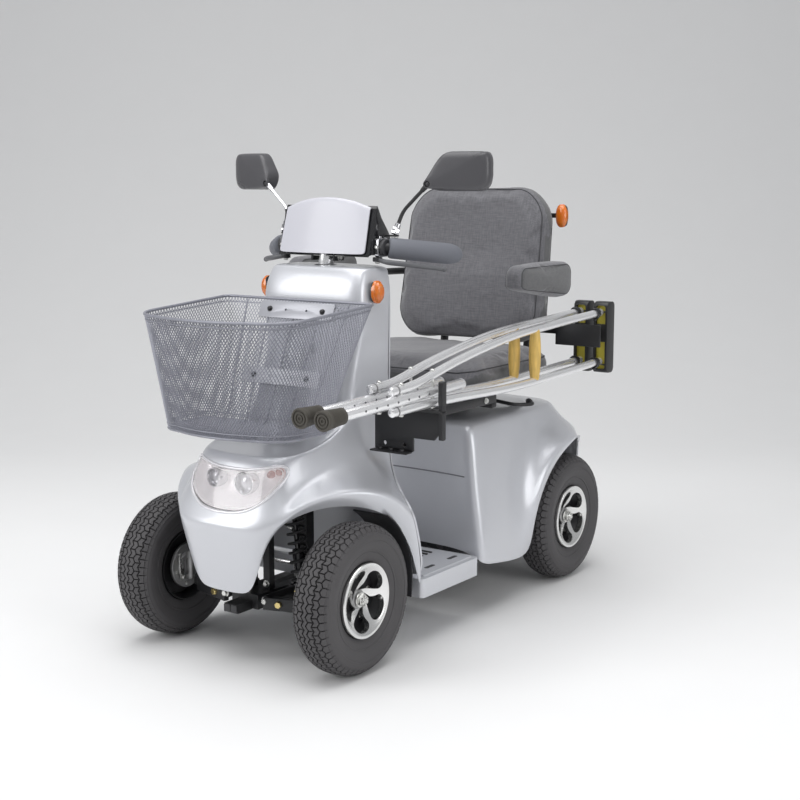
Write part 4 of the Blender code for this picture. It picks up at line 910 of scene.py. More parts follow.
def make_tyre():
    """A tyre along +Z (outer side up): zigzag ribs, scale-like blocks and ringed sidewalls."""
    rows = section_points()
    columns = [(-arc, depth, row) for arc, depth, row in reversed(TREAD_HALF)] + list(TREAD_HALF)
    steps = TREAD_WAVES * len(WAVE_PHASES)
    side_count = len(SIDEWALL)
    points, faces = [], []
    for k in range(steps):
        wave, index = divmod(k, len(WAVE_PHASES))
        phase = WAVE_PHASES[index]
        turn = 2 * pi * (wave + phase) / TREAD_WAVES
        spin = Vector((cos(turn), sin(turn)))
        ring = [(radius, -across) for radius, across in reversed(SIDEWALL)]
        for arc, depth, row in columns:
            swing = 0.003 * (1 - 0.35 * abs(arc) / 0.039) * (abs(phase * 4 - 2) - 1)
            if abs(arc) > 0.0395:
                swing = 0.0
            radius, across = on_section(rows, arc + swing)
            linked = row > 0 and phase == (0.0 if row % 2 else 0.5)
            sink = max(depth * GROOVE_DEPTH, LINK_DEPTH if linked else 0.0)
            lean = min(1.0, abs(across) / TYRE_HALF) ** 4
            ring.append((radius - sink * (1 - 0.5 * lean),
                         across - (sink * lean * 0.7 if across > 0 else -sink * lean * 0.7)))
        ring += SIDEWALL
        points += [(spin.x * radius, spin.y * radius, across) for radius, across in ring]
    count = len(columns) + 2 * side_count
    for k in range(steps):
        after = (k + 1) % steps
        for index in range(count):
            beyond = (index + 1) % count
            faces.append((k * count + index, after * count + index,
                          after * count + beyond, k * count + beyond))
    return from_lists("tyre", points, faces)


# share of the rim's radius and turn in degrees, round one swept window
RIM_WINDOW = ((0.27, 98), (0.35, 80), (0.44, 70), (0.56, 70), (0.69, 72), (0.795, 64), (0.845, 50),
              (0.845, 34), (0.795, 20), (0.69, 14), (0.56, 18), (0.45, 27), (0.36, 40), (0.28, 58),
              (0.255, 80))


def make_rim():
    """The polished face with five swept windows over a black barrel, with nut and valve; the barrel's black
    and the darker hub are painted shade.
    """
    face = turned("rim_face", [
        (0.0745, 0.0285), (0.0748, 0.035), (0.0738, 0.0366), (0.0715, 0.037), (0.069, 0.0366),
        (0.0668, 0.0358), (0.0645, 0.0346), (0.056, 0.0305), (0.04, 0.0232), (0.029, 0.0186),
        (0.0225, 0.016), (0.0192, 0.0152), (0.018, 0.0172), (0.015, 0.0178), (0.009, 0.0178),
        (0.009, 0.006), (0.03, 0.008), (0.056, 0.0195), (0.068, 0.025)], steps=120)
    close_profile(face, 120, 19)
    windows = []
    for index in range(5):
        outline = []
        for share, degrees in RIM_WINDOW:
            turn = radians(degrees + 72 * index)
            outline.append((-RIM_R * share * sin(turn), RIM_R * share * cos(turn)))
        windows.append(plate("window", smooth_loop(outline), 0.08, "Z", 0.02))
    face = boolean(face, [joined("windows", windows)])
    face = soften(face, 0.001, 2, 50)
    face.data.materials.append(ALLOY)
    face.data.materials.append(DULL_ALLOY_AND_HUB_SHADE)
    # Faces near the hub take the darker alloy: painted shade in the hub's recess.
    for polygon in face.data.polygons:
        if polygon.center.xy.length < 0.02:
            polygon.material_index = 1
    # The barrel is coloured black: painted shade seen through the windows.
    barrel = turned("rim_barrel", [
        (0.0742, 0.028), (0.0735, 0.018), (0.069, 0.012), (0.07, -0.02), (0.0735, -0.027),
        (0.0742, -0.0325), (0.0722, -0.0325), (0.069, -0.029), (0.065, -0.02), (0.064, -0.008),
        (0.03, -0.009), (0.0235, -0.016), (0.0225, -0.0225), (0.0088, -0.0225), (0.0088, 0.005),
        (0.03, 0.004), (0.06, 0.005), (0.0655, 0.017), (0.069, 0.0235)], steps=72)
    close_profile(barrel, 72, 19)
    pieces = [face, painted(barrel, BLACK_METAL_AND_BARREL_SHADE)]
    for index in range(5):
        turn = radians(10 + 72 * index)
        spot = Vector((-0.046 * sin(turn), 0.046 * cos(turn), 0.0045))
        pieces.append(painted(hex_bolt("rim_bolt", spot, (0, 0, 1), 0.01, 0.006), ZINC))
    washer = turned("washer", [(0.0085, 0.0195), (0.015, 0.0195), (0.0152, 0.0212), (0.0145, 0.0218),
                               (0.0085, 0.0218)], steps=40)
    nut = turned("nut", [(0.007, 0.0218), (0.0122, 0.0218), (0.0128, 0.0224), (0.0128, 0.0278),
                         (0.0112, 0.029), (0.007, 0.029)], steps=6)
    crown = turned("crown", [(0.006, 0.0288), (0.0096, 0.0288), (0.0096, 0.0322), (0.0088, 0.033),
                             (0.006, 0.033)], steps=36)
    for piece, steps, rows in ((washer, 40, 5), (nut, 6, 6), (crown, 36, 5)):
        close_profile(piece, steps, rows)
    slots = [box("slot", (-0.0013, 0.0045, 0.0305), (0.0013, 0.012, 0.035)) for _ in range(6)]
    for index, slot in enumerate(slots):
        slot.data.transform(Matrix.Rotation(pi / 3 * index, 4, "Z"))
    crown = boolean(crown, [joined("slots", slots)])
    end = turned("axle_end", [(0, 0.024), (0.0058, 0.024), (0.0058, 0.033), (0.0048, 0.034),
                              (0, 0.034)], steps=24)
    pin = tube("split_pin", [(-0.0125, 0.0004, 0.0312), (0.0105, 0.0004, 0.0312), (0.0128, 0.0004, 0.029)],
               0.0009, 3)
    pieces += [painted(piece, ZINC) for piece in (washer, nut, crown, end, pin)]
    turn = radians(-8)
    spot = Vector((-0.06 * sin(turn), 0.06 * cos(turn), 0.004))
    stem = turned("valve", [(0.0052, 0.0), (0.0048, 0.004), (0.0034, 0.007), (0.0034, 0.017),
                            (0.0028, 0.0178)], spot, spot + Vector((0, 0, 1)), 20)
    cap = turned("valve_cap", [(0.0036, 0.0172), (0.0038, 0.0178), (0.0038, 0.0245), (0.003, 0.0256),
                               (0, 0.0256)], spot, spot + Vector((0, 0, 1)), 20)
    pieces += [painted(stem, RUBBER), painted(cap, ZINC)]
    return joined("rim", pieces)


def close_profile(made, steps, rows):
    """Join the first and last rings of a turned shape whose section is a closed loop."""
    bm = bmesh.new()
    bm.from_mesh(made.data)
    bm.verts.ensure_lookup_table()
    for face in [face for face in bm.faces if len(face.verts) == steps]:
        bm.faces.remove(face)
    first, last = bm.verts[:steps], bm.verts[(rows - 1) * steps:rows * steps]
    for k in range(steps):
        after = (k + 1) % steps
        bm.faces.new((last[k], last[after], first[after], first[k]))
    bmesh.ops.recalc_face_normals(bm, faces=bm.faces)
    bm.to_mesh(made.data)
    bm.free()


def make_wheels():
    """Four wheels from one tyre and one rim."""
    tyre, rim = make_tyre(), make_rim()
    painted(tyre, TYRE)
    for corner in ("front_left", "front_right", "rear_left", "rear_right"):
        side = 1 if corner.endswith("left") else -1
        axle_y = FRONT_AXLE_Y if corner.startswith("front") else REAR_AXLE_Y
        turn = (Matrix.Translation((side * TRACK_HALF, axle_y, TYRE_R))
                @ Matrix.Rotation(side * pi / 2, 4, "Y"))
        for kind, source, slot in (("tyre", tyre, "tyre_rubber"), ("rim", rim, "cast_alloy")):
            mesh = source.data.copy()
            mesh.transform(turn)
            shown(place(f"{kind}_finish_{corner}", mesh), f"wheel_{corner}", [f"{kind}_{corner}"],
                  angle=30)
    for source in (tyre, rim):
        bpy.data.objects.remove(source, do_unlink=True)


TYRE = look("tyre_tread_rubber", (0.066, 0.063, 0.066), 0.6, spread=0.18, scale=12.0, rough_spread=0.1,
            grain=0.25, grain_scale=1100.0, grain_colour=0.12)

make_wheels()


# ---------------------------------------------------------------- suspension, frame and drive
def helix(name, start, end, radius, wire, turns):
    """A coil spring between two points, with closed flat ends."""
    flat = 0.8
    start, end = Vector(start), Vector(end)
    length = (end - start).length
    count = int((turns + 2 * flat) * 22)
    points = []
    for k in range(count + 1):
        around = (turns + 2 * flat) * k / count
        if around < flat:
            height = wire + wire * 0.9 * around / flat
        elif around > turns + flat:
            height = length - wire - wire * 0.9 * (turns + 2 * flat - around) / flat
        else:
            height = wire * 1.9 + (length - wire * 3.8) * (around - flat) / turns
        turn = 2 * pi * around
        points.append(Vector((radius * cos(turn), radius * sin(turn), height)))
    made = tube(name, points, wire, 3)
    made.data.transform(aim(start, end))
    return made


def make_shocks():
    """Coil-over shocks with eyes and bolts at both ends."""
    y, z = FRONT_AXLE_Y, FRONT_ARM_Z
    start, end = Vector((0.108, y, z + 0.0215)), Vector((0.088, y, 0.31))
    run = (end - start).normalized()
    body = turned("shock_body", [(0, 0.004), (0.009, 0.004), (0.01, 0.006), (0.01, 0.012), (0.021, 0.013),
                                 (0.0215, 0.016), (0.012, 0.0175), (0.012, 0.08), (0.0105, 0.083),
                                 (0.0055, 0.084), (0.0055, 0.15), (0.021, 0.151), (0.0215, 0.1545),
                                 (0.01, 0.156), (0.009, 0.164), (0, 0.164)], start, end, 40)
    spring = helix("shock_spring", start + run * 0.0165, start + run * 0.1508, 0.0172, 0.003, 6.5)
    pieces = [painted(body, BLACK_GLOSS), painted(spring, BLACK_METAL_AND_BARREL_SHADE)]
    for spot, finish in ((start, BRASS), (end, ZINC)):
        eye = rod("shock_eye", spot + Vector((0, -0.0125, 0)), spot + Vector((0, 0.0125, 0)), 0.0098)
        pieces.append(painted(eye, BLACK_METAL_AND_BARREL_SHADE))
        bolt = hex_bolt("shock_bolt", spot + Vector((0, -0.0125, 0)), (0, -1, 0), 0.013, 0.006)
        pieces.append(painted(bolt, finish))
    both_sides(joined("shock_finish", pieces), "shock_finish_*", "chassis", ["shock_*"],
               angle=40)


def make_arms():
    """Lower arms: welded tube with a boxed front beam, bush, saddle and ball joint."""
    y, z = FRONT_AXLE_Y, FRONT_ARM_Z
    front, rear = [tube(f"arm_{label}", rounded_path([(0.052, y + end * 0.04, z),
                        (0.145, y + end * 0.012, z), (0.168, y, z)], 0.02, 6), 0.0085, 6) for label,
                   end in (("front", -1), ("rear", 1))]
    bush = rod("arm_bush", (0.052, y - 0.048, z), (0.052, y + 0.048, z), 0.011)
    saddle = box("arm_saddle", (0.098, y - 0.027, z - 0.008), (0.124, y + 0.027, z + 0.0045), 0.002)
    ball = turned("arm_ball", [(0, -0.011), (0.01, -0.011), (0.012, -0.009), (0.0125, 0.004),
                  (0.0105, 0.008), (0.007, 0.012), (0, 0.012)], (0.167, y, z), (0.167, y, 1.0), 36)
    beam = box("arm_beam", (-0.0545, -0.006, -0.015), (0.0545, 0.006, 0.011), 0.002)
    direction = Vector((0.093, 0.028, 0.0)).normalized()
    across = Vector((-direction.y, direction.x, 0))
    turn = axis_turn(direction, across, Vector((0, 0, 1)))
    beam.data.transform(Matrix.Translation((0.101, y - 0.034, z - 0.002)) @ turn)
    pieces = [painted(piece, BLACK_METAL_AND_BARREL_SHADE) for piece in (front, rear, bush, saddle, ball, beam)]
    bolt_at = Vector((0.082, y - 0.0398, z - 0.003)) - across * 0.0045
    pieces.append(painted(hex_bolt("arm_bolt", bolt_at, -across, 0.015, 0.0065), BRASS))
    for shift in (-0.049, 0.048):
        out = (0, -1 if shift < 0 else 1, 0)
        pieces.append(painted(hex_bolt("bush_bolt", (0.052, y + shift, z), out, 0.013, 0.005), ZINC))
    for shift in (-0.018, 0.018):
        spot = Vector((0.111, y + shift, z + 0.0045))
        pieces.append(painted(hex_bolt("saddle_bolt", spot, (0, 0, 1), 0.009, 0.0045), ZINC))
    both_sides(joined("arm_finish", pieces), "lower_arm_finish_*", "arm_*", ["lower_arm_*"],
               angle=40)


def make_knuckles():
    """Steering knuckles: kingpin, ribbed brake drum with its lever, stub axle and steering arm."""
    y, x = FRONT_AXLE_Y, 0.192
    pin = turned("kingpin", [(0, -0.03), (0.006, -0.03), (0.0075, -0.0285), (0.0095, -0.026), (0.0095, 0.03),
                             (0.0075, 0.0325), (0.006, 0.034), (0, 0.034)],
                 (x, y, TYRE_R), (x, y, 1.0), 36)
    drum = turned("brake_drum", [(0, 0.0), (0.018, 0.0), (0.02, -0.003), (0.03, -0.0035), (0.033, 0.0),
                                 (0.04, 0.001), (0.044, 0.002), (0.047, 0.0022), (0.048, 0.0035),
                                 (0.048, 0.009), (0.0465, 0.01), (0, 0.01)],
                  (x + 0.004, y, TYRE_R), (1.0, y, TYRE_R), 72)
    axle = rod("stub_axle", (x - 0.006, y, TYRE_R), (0.2625, y, TYRE_R), 0.0079)
    arm = tube("steer_arm", [(x - 0.003, y, TYRE_R + 0.018), (x - 0.01, y + 0.03, TYRE_R + 0.018),
                             (x - 0.022, y + 0.066, TYRE_R + 0.018)], 0.0062, 6)
    eye = rod("steer_eye", (x - 0.022, y + 0.07, TYRE_R + 0.012), (x - 0.022, y + 0.07, TYRE_R + 0.026),
              0.0098)
    pieces = [painted(pin, DULL_ALLOY_AND_HUB_SHADE), painted(drum, DULL_ALLOY_AND_HUB_SHADE), painted(axle, ZINC),
              painted(arm, BLACK_METAL_AND_BARREL_SHADE), painted(eye, BLACK_METAL_AND_BARREL_SHADE)]
    pieces += bolt_circle("drum_bolt", (x + 0.0052, y, TYRE_R), 0.0395, 6, 0.25, -1, 0.0072, 0.0035)
    lever = plate("brake_arm", [(-0.006, -0.006), (0.006, -0.006), (0.0045, 0.044), (0.0, 0.0475),
                  (-0.0045, 0.044)], 0.003, "X", 0.0, 0.0006, [circle((0.0, 0.041), 0.0022, 12)])
    lever_place = Matrix.Translation((x - 0.0005, y - 0.026, TYRE_R - 0.02))
    lever.data.transform(lever_place @ Matrix.Rotation(0.12, 4, "X"))
    pieces.append(painted(lever, ZINC))
    pieces.append(painted(hex_bolt("brake_arm_bolt", (x - 0.0025, y - 0.026, TYRE_R - 0.02), (-1, 0, 0),
                          0.0095, 0.004), ZINC))
    both_sides(joined("knuckle", pieces), "knuckle_finish_*", "upright_*", ["knuckle_*"],
               angle=40)


def make_tie_rod():
    """Tie rod with threaded ends, lock nuts and rubber boots."""
    rod_y, rod_z = FRONT_AXLE_Y + 0.086, TYRE_R + 0.018
    pieces = [painted(rod("tie_tube", (-0.14, rod_y, rod_z), (0.14, rod_y, rod_z), 0.0055), POLISHED)]
    for side in (-1, 1):
        nut = turned("tie_nut", [(0.004, 0), (0.0078, 0), (0.0082, 0.0008), (0.0082, 0.0052),
                     (0.0078, 0.006), (0.004, 0.006)], (side * 0.1405, rod_y, rod_z), (side, rod_y, rod_z),
                     6)
        stud = rod("tie_stud", (side * 0.138, rod_y, rod_z), (side * 0.172, rod_y, rod_z), 0.0042)
        boot = turned("tie_boot", [(0.0042, 0.0), (0.0074, 0.0005), (0.0062, 0.0035), (0.008, 0.006),
                                   (0.0066, 0.009), (0.0082, 0.012), (0.0082, 0.017), (0.0042, 0.018)],
                      (side * 0.15, rod_y, rod_z), (side, rod_y, rod_z), 32)
        pieces += [painted(nut, ZINC), painted(stud, ZINC), painted(boot, BLACK_PLASTIC)]
    shown(joined("tie_rod_finish", pieces), "track_rod", ["tie_rod"], angle=40)


def make_drive():
    """Transaxle: finned motor, bolted gear case, axle tubes and brake drums."""
    y, z = REAR_AXLE_Y, TYRE_R
    case = turned("gear_case", [(0, -0.062), (0.044, -0.062), (0.05, -0.058), (0.052, -0.05),
                  (0.052, -0.006), (0.056, -0.005), (0.056, 0.005), (0.052, 0.006), (0.052, 0.05),
                  (0.05, 0.058), (0.044, 0.062), (0, 0.062)], (0, y, z), (1, y, z), 56)
    tubes = rod("axle_tube", (-0.1745, y, z), (0.1745, y, z), 0.024, steps=36)
    axle = rod("axle_bar", (-0.2625, y, z), (0.2625, y, z), 0.0079)
    pieces = [painted(case, DULL_ALLOY_AND_HUB_SHADE), painted(tubes, BLACK_METAL_AND_BARREL_SHADE), painted(axle, ZINC)]
    pieces += bolt_circle("case_bolt", (0.005, y, z), 0.0545, 8, 0.5, 1, 0.0085, 0.004)
    start, end = Vector((0, y - 0.02, z + 0.01)), Vector((0, y + 0.125, z + 0.025))
    profile = [(0, 0.055), (0.04, 0.055), (0.042, 0.058)]
    for k in range(6):
        at = 0.066 + k * 0.011
        profile += [(0.0395, at - 0.003), (0.0395, at), (0.0425, at + 0.0012), (0.0425, at + 0.0055),
                    (0.0395, at + 0.0068)]
    profile += [(0.0395, 0.137), (0.036, 0.142), (0.02, 0.144), (0, 0.1445)]
    pieces.append(painted(turned("motor", profile, start, end, 56), BLACK_METAL_AND_BARREL_SHADE))
    pieces.append(painted(box("motor_block", (-0.04, y - 0.01, z - 0.03), (0.04, y + 0.06, z + 0.042), 0.01),
                          DULL_ALLOY_AND_HUB_SHADE))
    mount = box("drive_mount", (-0.03, y - 0.012, 0.1015), (0.03, y + 0.012, 0.13), 0.002)
    pieces.append(painted(mount, BLACK_METAL_AND_BARREL_SHADE))
    for side in (-1, 1):
        drum = turned("rear_drum", [(0, 0), (0.044, 0), (0.048, 0.0015), (0.05, 0.004), (0.05, 0.0125),
                                    (0.0485, 0.014), (0, 0.014)],
                      (side * 0.172, y, z), (side, y, z), 64)
        pieces.append(painted(drum, DULL_ALLOY_AND_HUB_SHADE))
        pieces += bolt_circle("rear_drum_bolt", (side * 0.1725, y, z), 0.038, 5, 0.5, -side, 0.008, 0.0035)
    shown(joined("drive_finish", pieces), "chassis", ["drive_unit"], angle=40)


def make_batteries():
    """Two sealed batteries with lid line, terminals and a lifting strap."""
    low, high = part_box("battery_left")
    case = rounded_slab("battery_case", low, (high.x, high.y, high.z - 0.014), 0.006, 0.002)
    lid = rounded_slab("battery_lid", (low.x + 0.002, low.y + 0.002, high.z - 0.0145),
                       (high.x - 0.002, high.y - 0.002, high.z - 0.004), 0.006, 0.002)
    mid_x = (low.x + high.x) / 2
    strap_path = [(mid_x, low.y + 0.05, high.z - 0.005), (mid_x, low.y + 0.06, high.z + 0.001),
                  (mid_x, high.y - 0.06, high.z + 0.001), (mid_x, high.y - 0.05, high.z - 0.005)]
    strap = tube("battery_strap", rounded_path(strap_path, 0.008, 4), 0.003, 4)
    pieces = [painted(case, DARK_GREY), painted(lid, BLACK_PLASTIC), painted(strap, BLACK_PLASTIC)]
    for share, colour in ((0.2, LED_RED_CAP), (0.8, BLACK_PLASTIC)):
        spot = Vector((low.x + (high.x - low.x) * share, low.y + 0.024, high.z - 0.005))
        pieces.append(painted(rod("terminal", spot, spot + Vector((0, 0, 0.005)), 0.008), colour))
    both_sides(joined("battery", pieces), "battery_finish_*", "chassis", ["battery_*"],
               angle=40)


def make_frame_details():
    """End caps, bolts and brake cables on the welded frame."""
    pieces = []
    for side in (-1, 1):
        x = side * 0.0088
        cap = rounded_slab("nose_cap", (x - 0.0078, -0.515, 0.1042), (x + 0.0078, -0.51, 0.1198), 0.002,
                           0.0008, "Y")
        pieces.append(painted(cap, BLACK_PLASTIC))
        for z, y in ((0.146, -0.4285), (0.3, -0.4285)):
            spot = Vector((side * 0.022, y, z))
            pieces.append(painted(hex_bolt("tower_bolt", spot, (0, -1, 0), 0.011, 0.005), ZINC))
        spot = Vector((side * 0.086, -0.4365, 0.317))
        pieces.append(painted(hex_bolt("head_bolt", spot, (0, -1, 0), 0.012, 0.005), ZINC))
        tail = rounded_slab("rail_cap", (side * 0.095 - 0.0105, 0.529, 0.0775),
                            (side * 0.095 + 0.0105, 0.532, 0.0985), 0.002, 0.0008, "Y")
        pieces.append(painted(tail, BLACK_PLASTIC))
        for y in (-0.2, -0.11):
            bolt = hex_bolt("floor_bolt", (side * 0.095, y, 0.075), (0, 0, -1), 0.012, 0.005)
            pieces.append(painted(bolt, ZINC))
        hose_path = [(side * x, y, z) for x, y, z in ((0.026, -0.414, 0.285), (0.06, -0.395, 0.262),
                                                      (0.11, -0.392, 0.215), (0.146, -0.4, 0.196))]
        hose = tube("brake_cable", rounded_path(hose_path, 0.03, 6), 0.0028, 4)
        pieces.append(painted(hose, BLACK_PLASTIC))
        clip = rod("cable_clip", (side * 0.052, -0.399, 0.2664), (side * 0.064, -0.3947, 0.26), 0.0042,
                   steps=16)
        pieces.append(painted(clip, ZINC))
    shown(joined("frame_details", pieces), "chassis", angle=40)


LED_RED_CAP = look("red_terminal_cap", (0.45, 0.03, 0.025), 0.45, spread=0.1, scale=40.0, grain=0.1)

make_shocks()
make_arms()
make_knuckles()
make_tie_rod()
make_drive()
make_batteries()
make_frame_details()


# ---------------------------------------------------------------- steering head
def make_console():
    """Glossy visor, black side cheeks, and the dash with its gauge and rockers."""
    columns = []
    for step in range(9):
        share = step / 8 * 2 - 1
        bow = 0.01 * (1 - share * share)
        crown = 0.018 * (1 - share * share)
        inset = 0.003 * share ** 6
        columns.append([(0.1065 * share, -0.1785 - bow * 0.5, 0.8955 + crown - inset),
                        (0.1067 * share, -0.1815 - bow * 0.5, 0.8968 + crown - inset),
                        (0.1072 * share, -0.1845 - bow * 0.7, 0.893 + crown - inset),
                        (0.1088 * share, -0.1945 - bow, 0.852),
                        (0.1102 * share, -0.2065 - bow, 0.8085),
                        (0.1105 * share, -0.2085 - bow, 0.8015)])
    visor = moulding("visor_skin", columns, 0.003, 2, half=False, outward=True)
    shown(visor, "steering", ["console_visor"], GREY_GLOSS)

    side_outline = [(-0.203, 0.8035), (-0.1775, 0.8915), (-0.1705, 0.8955), (-0.158, 0.8745),
                    (-0.1285, 0.8375), (-0.1225, 0.8085), (-0.13, 0.8), (-0.196, 0.8)]
    cheeks = plate("console_cheeks", smooth_loop(side_outline, 3), 0.2355, "X", 0.0, 0.0022)
    tunnel = rod("bar_tunnel", (-0.3, BAR_BEND.y, BAR_BEND.z), (0.3, BAR_BEND.y, BAR_BEND.z), 0.0118)
    run = (STEM_TOP - STEM_FOOT).normalized()
    socket = rod("stem_socket", STEM_TOP - run * 0.06, STEM_TOP - run * 0.01, 0.0131)
    cheeks = boolean(cheeks, [tunnel, socket])
    out, along = DASH_OUT, DASH_ALONG
    pieces = [painted(cheeks, BLACK_GLOSS)]
    dash = rounded_slab("dash_plate", (-0.098, -0.019, -0.001), (0.098, 0.019, 0.001), 0.006, 0.0006)
    turn = axis_turn(ACROSS, along, out)
    middle = Vector((0.0, -0.1432, 0.856)) + out * 0.0006
    dash.data.transform(Matrix.Translation(middle) @ turn)
    pieces.append(painted(dash, DARK_GREY))
    for x in (-0.088, 0.088):
        for y in (-0.014, 0.014):
            spot = middle + Vector((x, 0, 0)) + along * y + out * 0.001
            pieces.append(painted(hex_bolt("dash_screw", spot, out, 0.0045, 0.0014, False), ZINC))
    gauge = rounded_slab("charge_gauge", (-0.024, -0.008, 0.0), (0.024, 0.008, 0.0032), 0.0035, 0.0008)
    gauge.data.transform(Matrix.Translation(middle + Vector((-0.004, 0, 0)) + along * 0.0098) @ turn)
    pieces.append(painted(gauge, BLACK_GLOSS))
    for index, colour in enumerate((LED_RED, LED_AMBER, LED_GREEN, LED_GREEN)):
        spot = middle + Vector((-0.019 + index * 0.01, 0, 0)) + along * 0.0098 + out * 0.003
        led = rod("charge_light", spot, spot + out * 0.001, 0.0018, edge=0.0004, steps=16)
        pieces.append(painted(led, colour))
    for x in (0.07, -0.072):
        spot = middle + Vector((x, 0, 0)) + out * 0.0008
        rocker = rounded_slab("rocker", (-0.008, -0.012, 0.0), (0.008, 0.012, 0.0042), 0.002, 0.001)
        rocker.data.transform(Matrix.Translation(spot) @ turn)
        pieces.append(painted(rocker, BLACK_PLASTIC))
    horn_foot = Vector(HORN_FOOT)
    bezel = turned("horn_bezel", [(0.0076, -0.0022), (0.0096, -0.0022), (0.0094, 0.0004), (0.0086, 0.001),
                                  (0.0076, 0.001)], horn_foot, horn_foot + out, 40)
    pieces.append(painted(bezel, ZINC))
    shown(joined("console_finish", pieces), "steering", ["console_housing"])


def make_clamps():
    """Chrome clamps and black collars where the bar leaves the console."""
    for side, label in ((1, "left"), (-1, "right")):
        clamp = rounded_slab("clamp", (0.119, -0.186, 0.796), (0.1285, -0.152, 0.8345), 0.006, 0.0015, "X")
        clamp.data.transform(Matrix.Diagonal((side, 1, 1, 1)))
        if side < 0:
            clamp.data.flip_normals()
        ear = side_box("clamp_ear", side, (0.1195, -0.177, 0.8225), (0.128, -0.158, 0.839), 0.0015)
        perch = side_box("mirror_perch", side, (0.1195, -0.156, 0.8372), (0.152, -0.144, 0.8408), 0.0015)
        collar = rod("collar", (side * 0.1285, BAR_BEND.y, BAR_BEND.z),
                     (side * 0.1385, BAR_BEND.y, BAR_BEND.z), 0.0175, edge=0.003)
        bolt = hex_bolt("clamp_bolt", (side * 0.124, -0.1845, 0.816), (0, -1, 0.1), 0.0075, 0.0035)
        nut = hex_bolt("perch_nut", (side * 0.145, -0.15, 0.8362), (0, 0, -1), 0.0115, 0.0045)
        pieces = [painted(clamp, CHROME), painted(ear, CHROME), painted(perch, BLACK_METAL_AND_BARREL_SHADE),
                  painted(collar, BLACK_PLASTIC), painted(bolt, ZINC), painted(nut, ZINC)]
        shown(joined(f"bar_clamp_{label}", pieces), "steering")


def make_bar():
    """Handlebar with its foam grips."""
    bar_end = GRIP_START.lerp(GRIP_END, 0.9)
    half_bar = [BAR_BEND, bar_end]
    path = rounded_path([(-x, y, z) for x, y, z in reversed(half_bar)] + half_bar, 0.01, 8)
    shown(tube("handlebar_finish", path, 0.0108, 7), "steering", ["handlebar"], BLACK_METAL_AND_BARREL_SHADE)
    length = (GRIP_END - GRIP_START).length
    profile = [(0.0118, 0.0), (0.0165, 0.0), (0.0195, 0.0012), (0.021, 0.004), (GRIP_R, 0.01)]
    for k in range(1, 5):
        profile.append((GRIP_R + 0.0002 * (k % 2), 0.01 + (length - 0.046) * k / 4))
    for degrees in (12, 25, 38, 50, 62, 74, 83):
        profile.append((GRIP_R * cos(radians(degrees)) ** 0.8,
                        length - 0.034 + 0.034 * sin(radians(degrees))))
    profile.append((0, length))
    grip = turned("grip", profile, GRIP_START, GRIP_END, 56)
    both_sides(grip, "grip_finish_*", "steering", ["grip_*"], FOAM, angle=50)


def make_levers():
    """Speed and brake levers: tapered fingers with round tips, on hubs with a screw."""
    for side, name, body, slot, end in (
            (-1, "accelerator_lever", "throttle", "black_plastic", (0.196, -0.154, 0.78)),
            (1, "brake_lever", "brake", "black_metal", (0.235, -0.105, 0.771))):
        pivot = Vector((side * 0.121, -0.178, 0.791))
        path = rounded_path([pivot, (side * 0.15, -0.188, 0.7865), (side * 0.18, -0.169, 0.783),
                             (side * end[0], end[1], end[2])], 0.016, 8)
        count = len(path)
        radii = [0.8 + 0.2 * min(1.0, k / 6) for k in range(count)]
        radii[-1], radii[-2] = 0.72, 0.98
        finger = tube(f"{name}_finger", path, 0.0056, 6, radii=radii)
        tip = turned("lever_tip", [(0.0036, -0.003), (0.0055, 0.0), (0.0054, 0.0035), (0.0038, 0.0062),
                                   (0, 0.007)], path[-1], Vector(path[-1]) * 2 - Vector(path[-2]), 24)
        hub = rod("lever_hub", pivot - Vector((0, 0, 0.0045)), pivot + Vector((0, 0, 0.0043)), 0.01)
        screw = hex_bolt("lever_screw", pivot - Vector((0, 0, 0.0045)), (0, 0, -1), 0.009, 0.0035)
        pieces = [painted(finger, LEVER_GREY), painted(hub, BLACK_PLASTIC), painted(tip, LEVER_GREY),
                  painted(screw, ZINC)]
        shown(joined(f"{name}_finish", pieces), body, [name])


def make_switches():
    """Speed knob, key switch with its key, and the horn button."""
    out = DASH_OUT
    foot = Vector((0.045, -0.1415, 0.859))
    knob = turned("speed_knob_finish", [(0.0128, 0.0), (0.013, 0.003), (0.0112, 0.0036), (0.0108, 0.0118),
                                        (0.0098, 0.0134), (0, 0.0138)], foot, foot + out, 12)
    knob = soften(knob, 0.0006, 2, 25)
    line = box("knob_line", (-0.0007, 0.0015, 0.0134), (0.0007, 0.01, 0.0143), 0.0002)
    line.data.transform(aim(foot, foot + out))
    shown(joined("speed_knob_finish", [painted(knob, DARK_GREY), painted(line, GREY_GLOSS)]),
          "speed_control", ["speed_knob"])
    foot = Vector((-0.045, -0.1415, 0.859))
    barrel = turned("key_barrel", [(0.008, 0.0), (0.008, 0.0035), (0.0068, 0.0048), (0.005, 0.005),
                                   (0, 0.0044)], foot, foot + out, 36)
    blade = box("key_blade", (-0.0028, -0.0008, 0.004), (0.0028, 0.0008, 0.0085), 0.0003)
    head = rounded_slab("key_head", (-0.0078, -0.0016, 0.0075), (0.0078, 0.0016, 0.0139), 0.0028, 0.0007,
                        "Y")
    for piece in (blade, head):
        piece.data.transform(aim(foot, foot + out))
    pieces = [painted(barrel, CHROME), painted(blade, ZINC), painted(head, BLACK_PLASTIC)]
    shown(joined("key_finish", pieces), "key", ["key_switch"])
    foot = Vector(HORN_FOOT)
    button = turned("horn_finish", [(0.007, 0.0002), (0.007, 0.003), (0.0062, 0.0042), (0.004, 0.0048),
                                    (0, 0.005)], foot, foot + out, 40)
    shown(button, "horn", ["horn_button"], GREY_GLOSS)


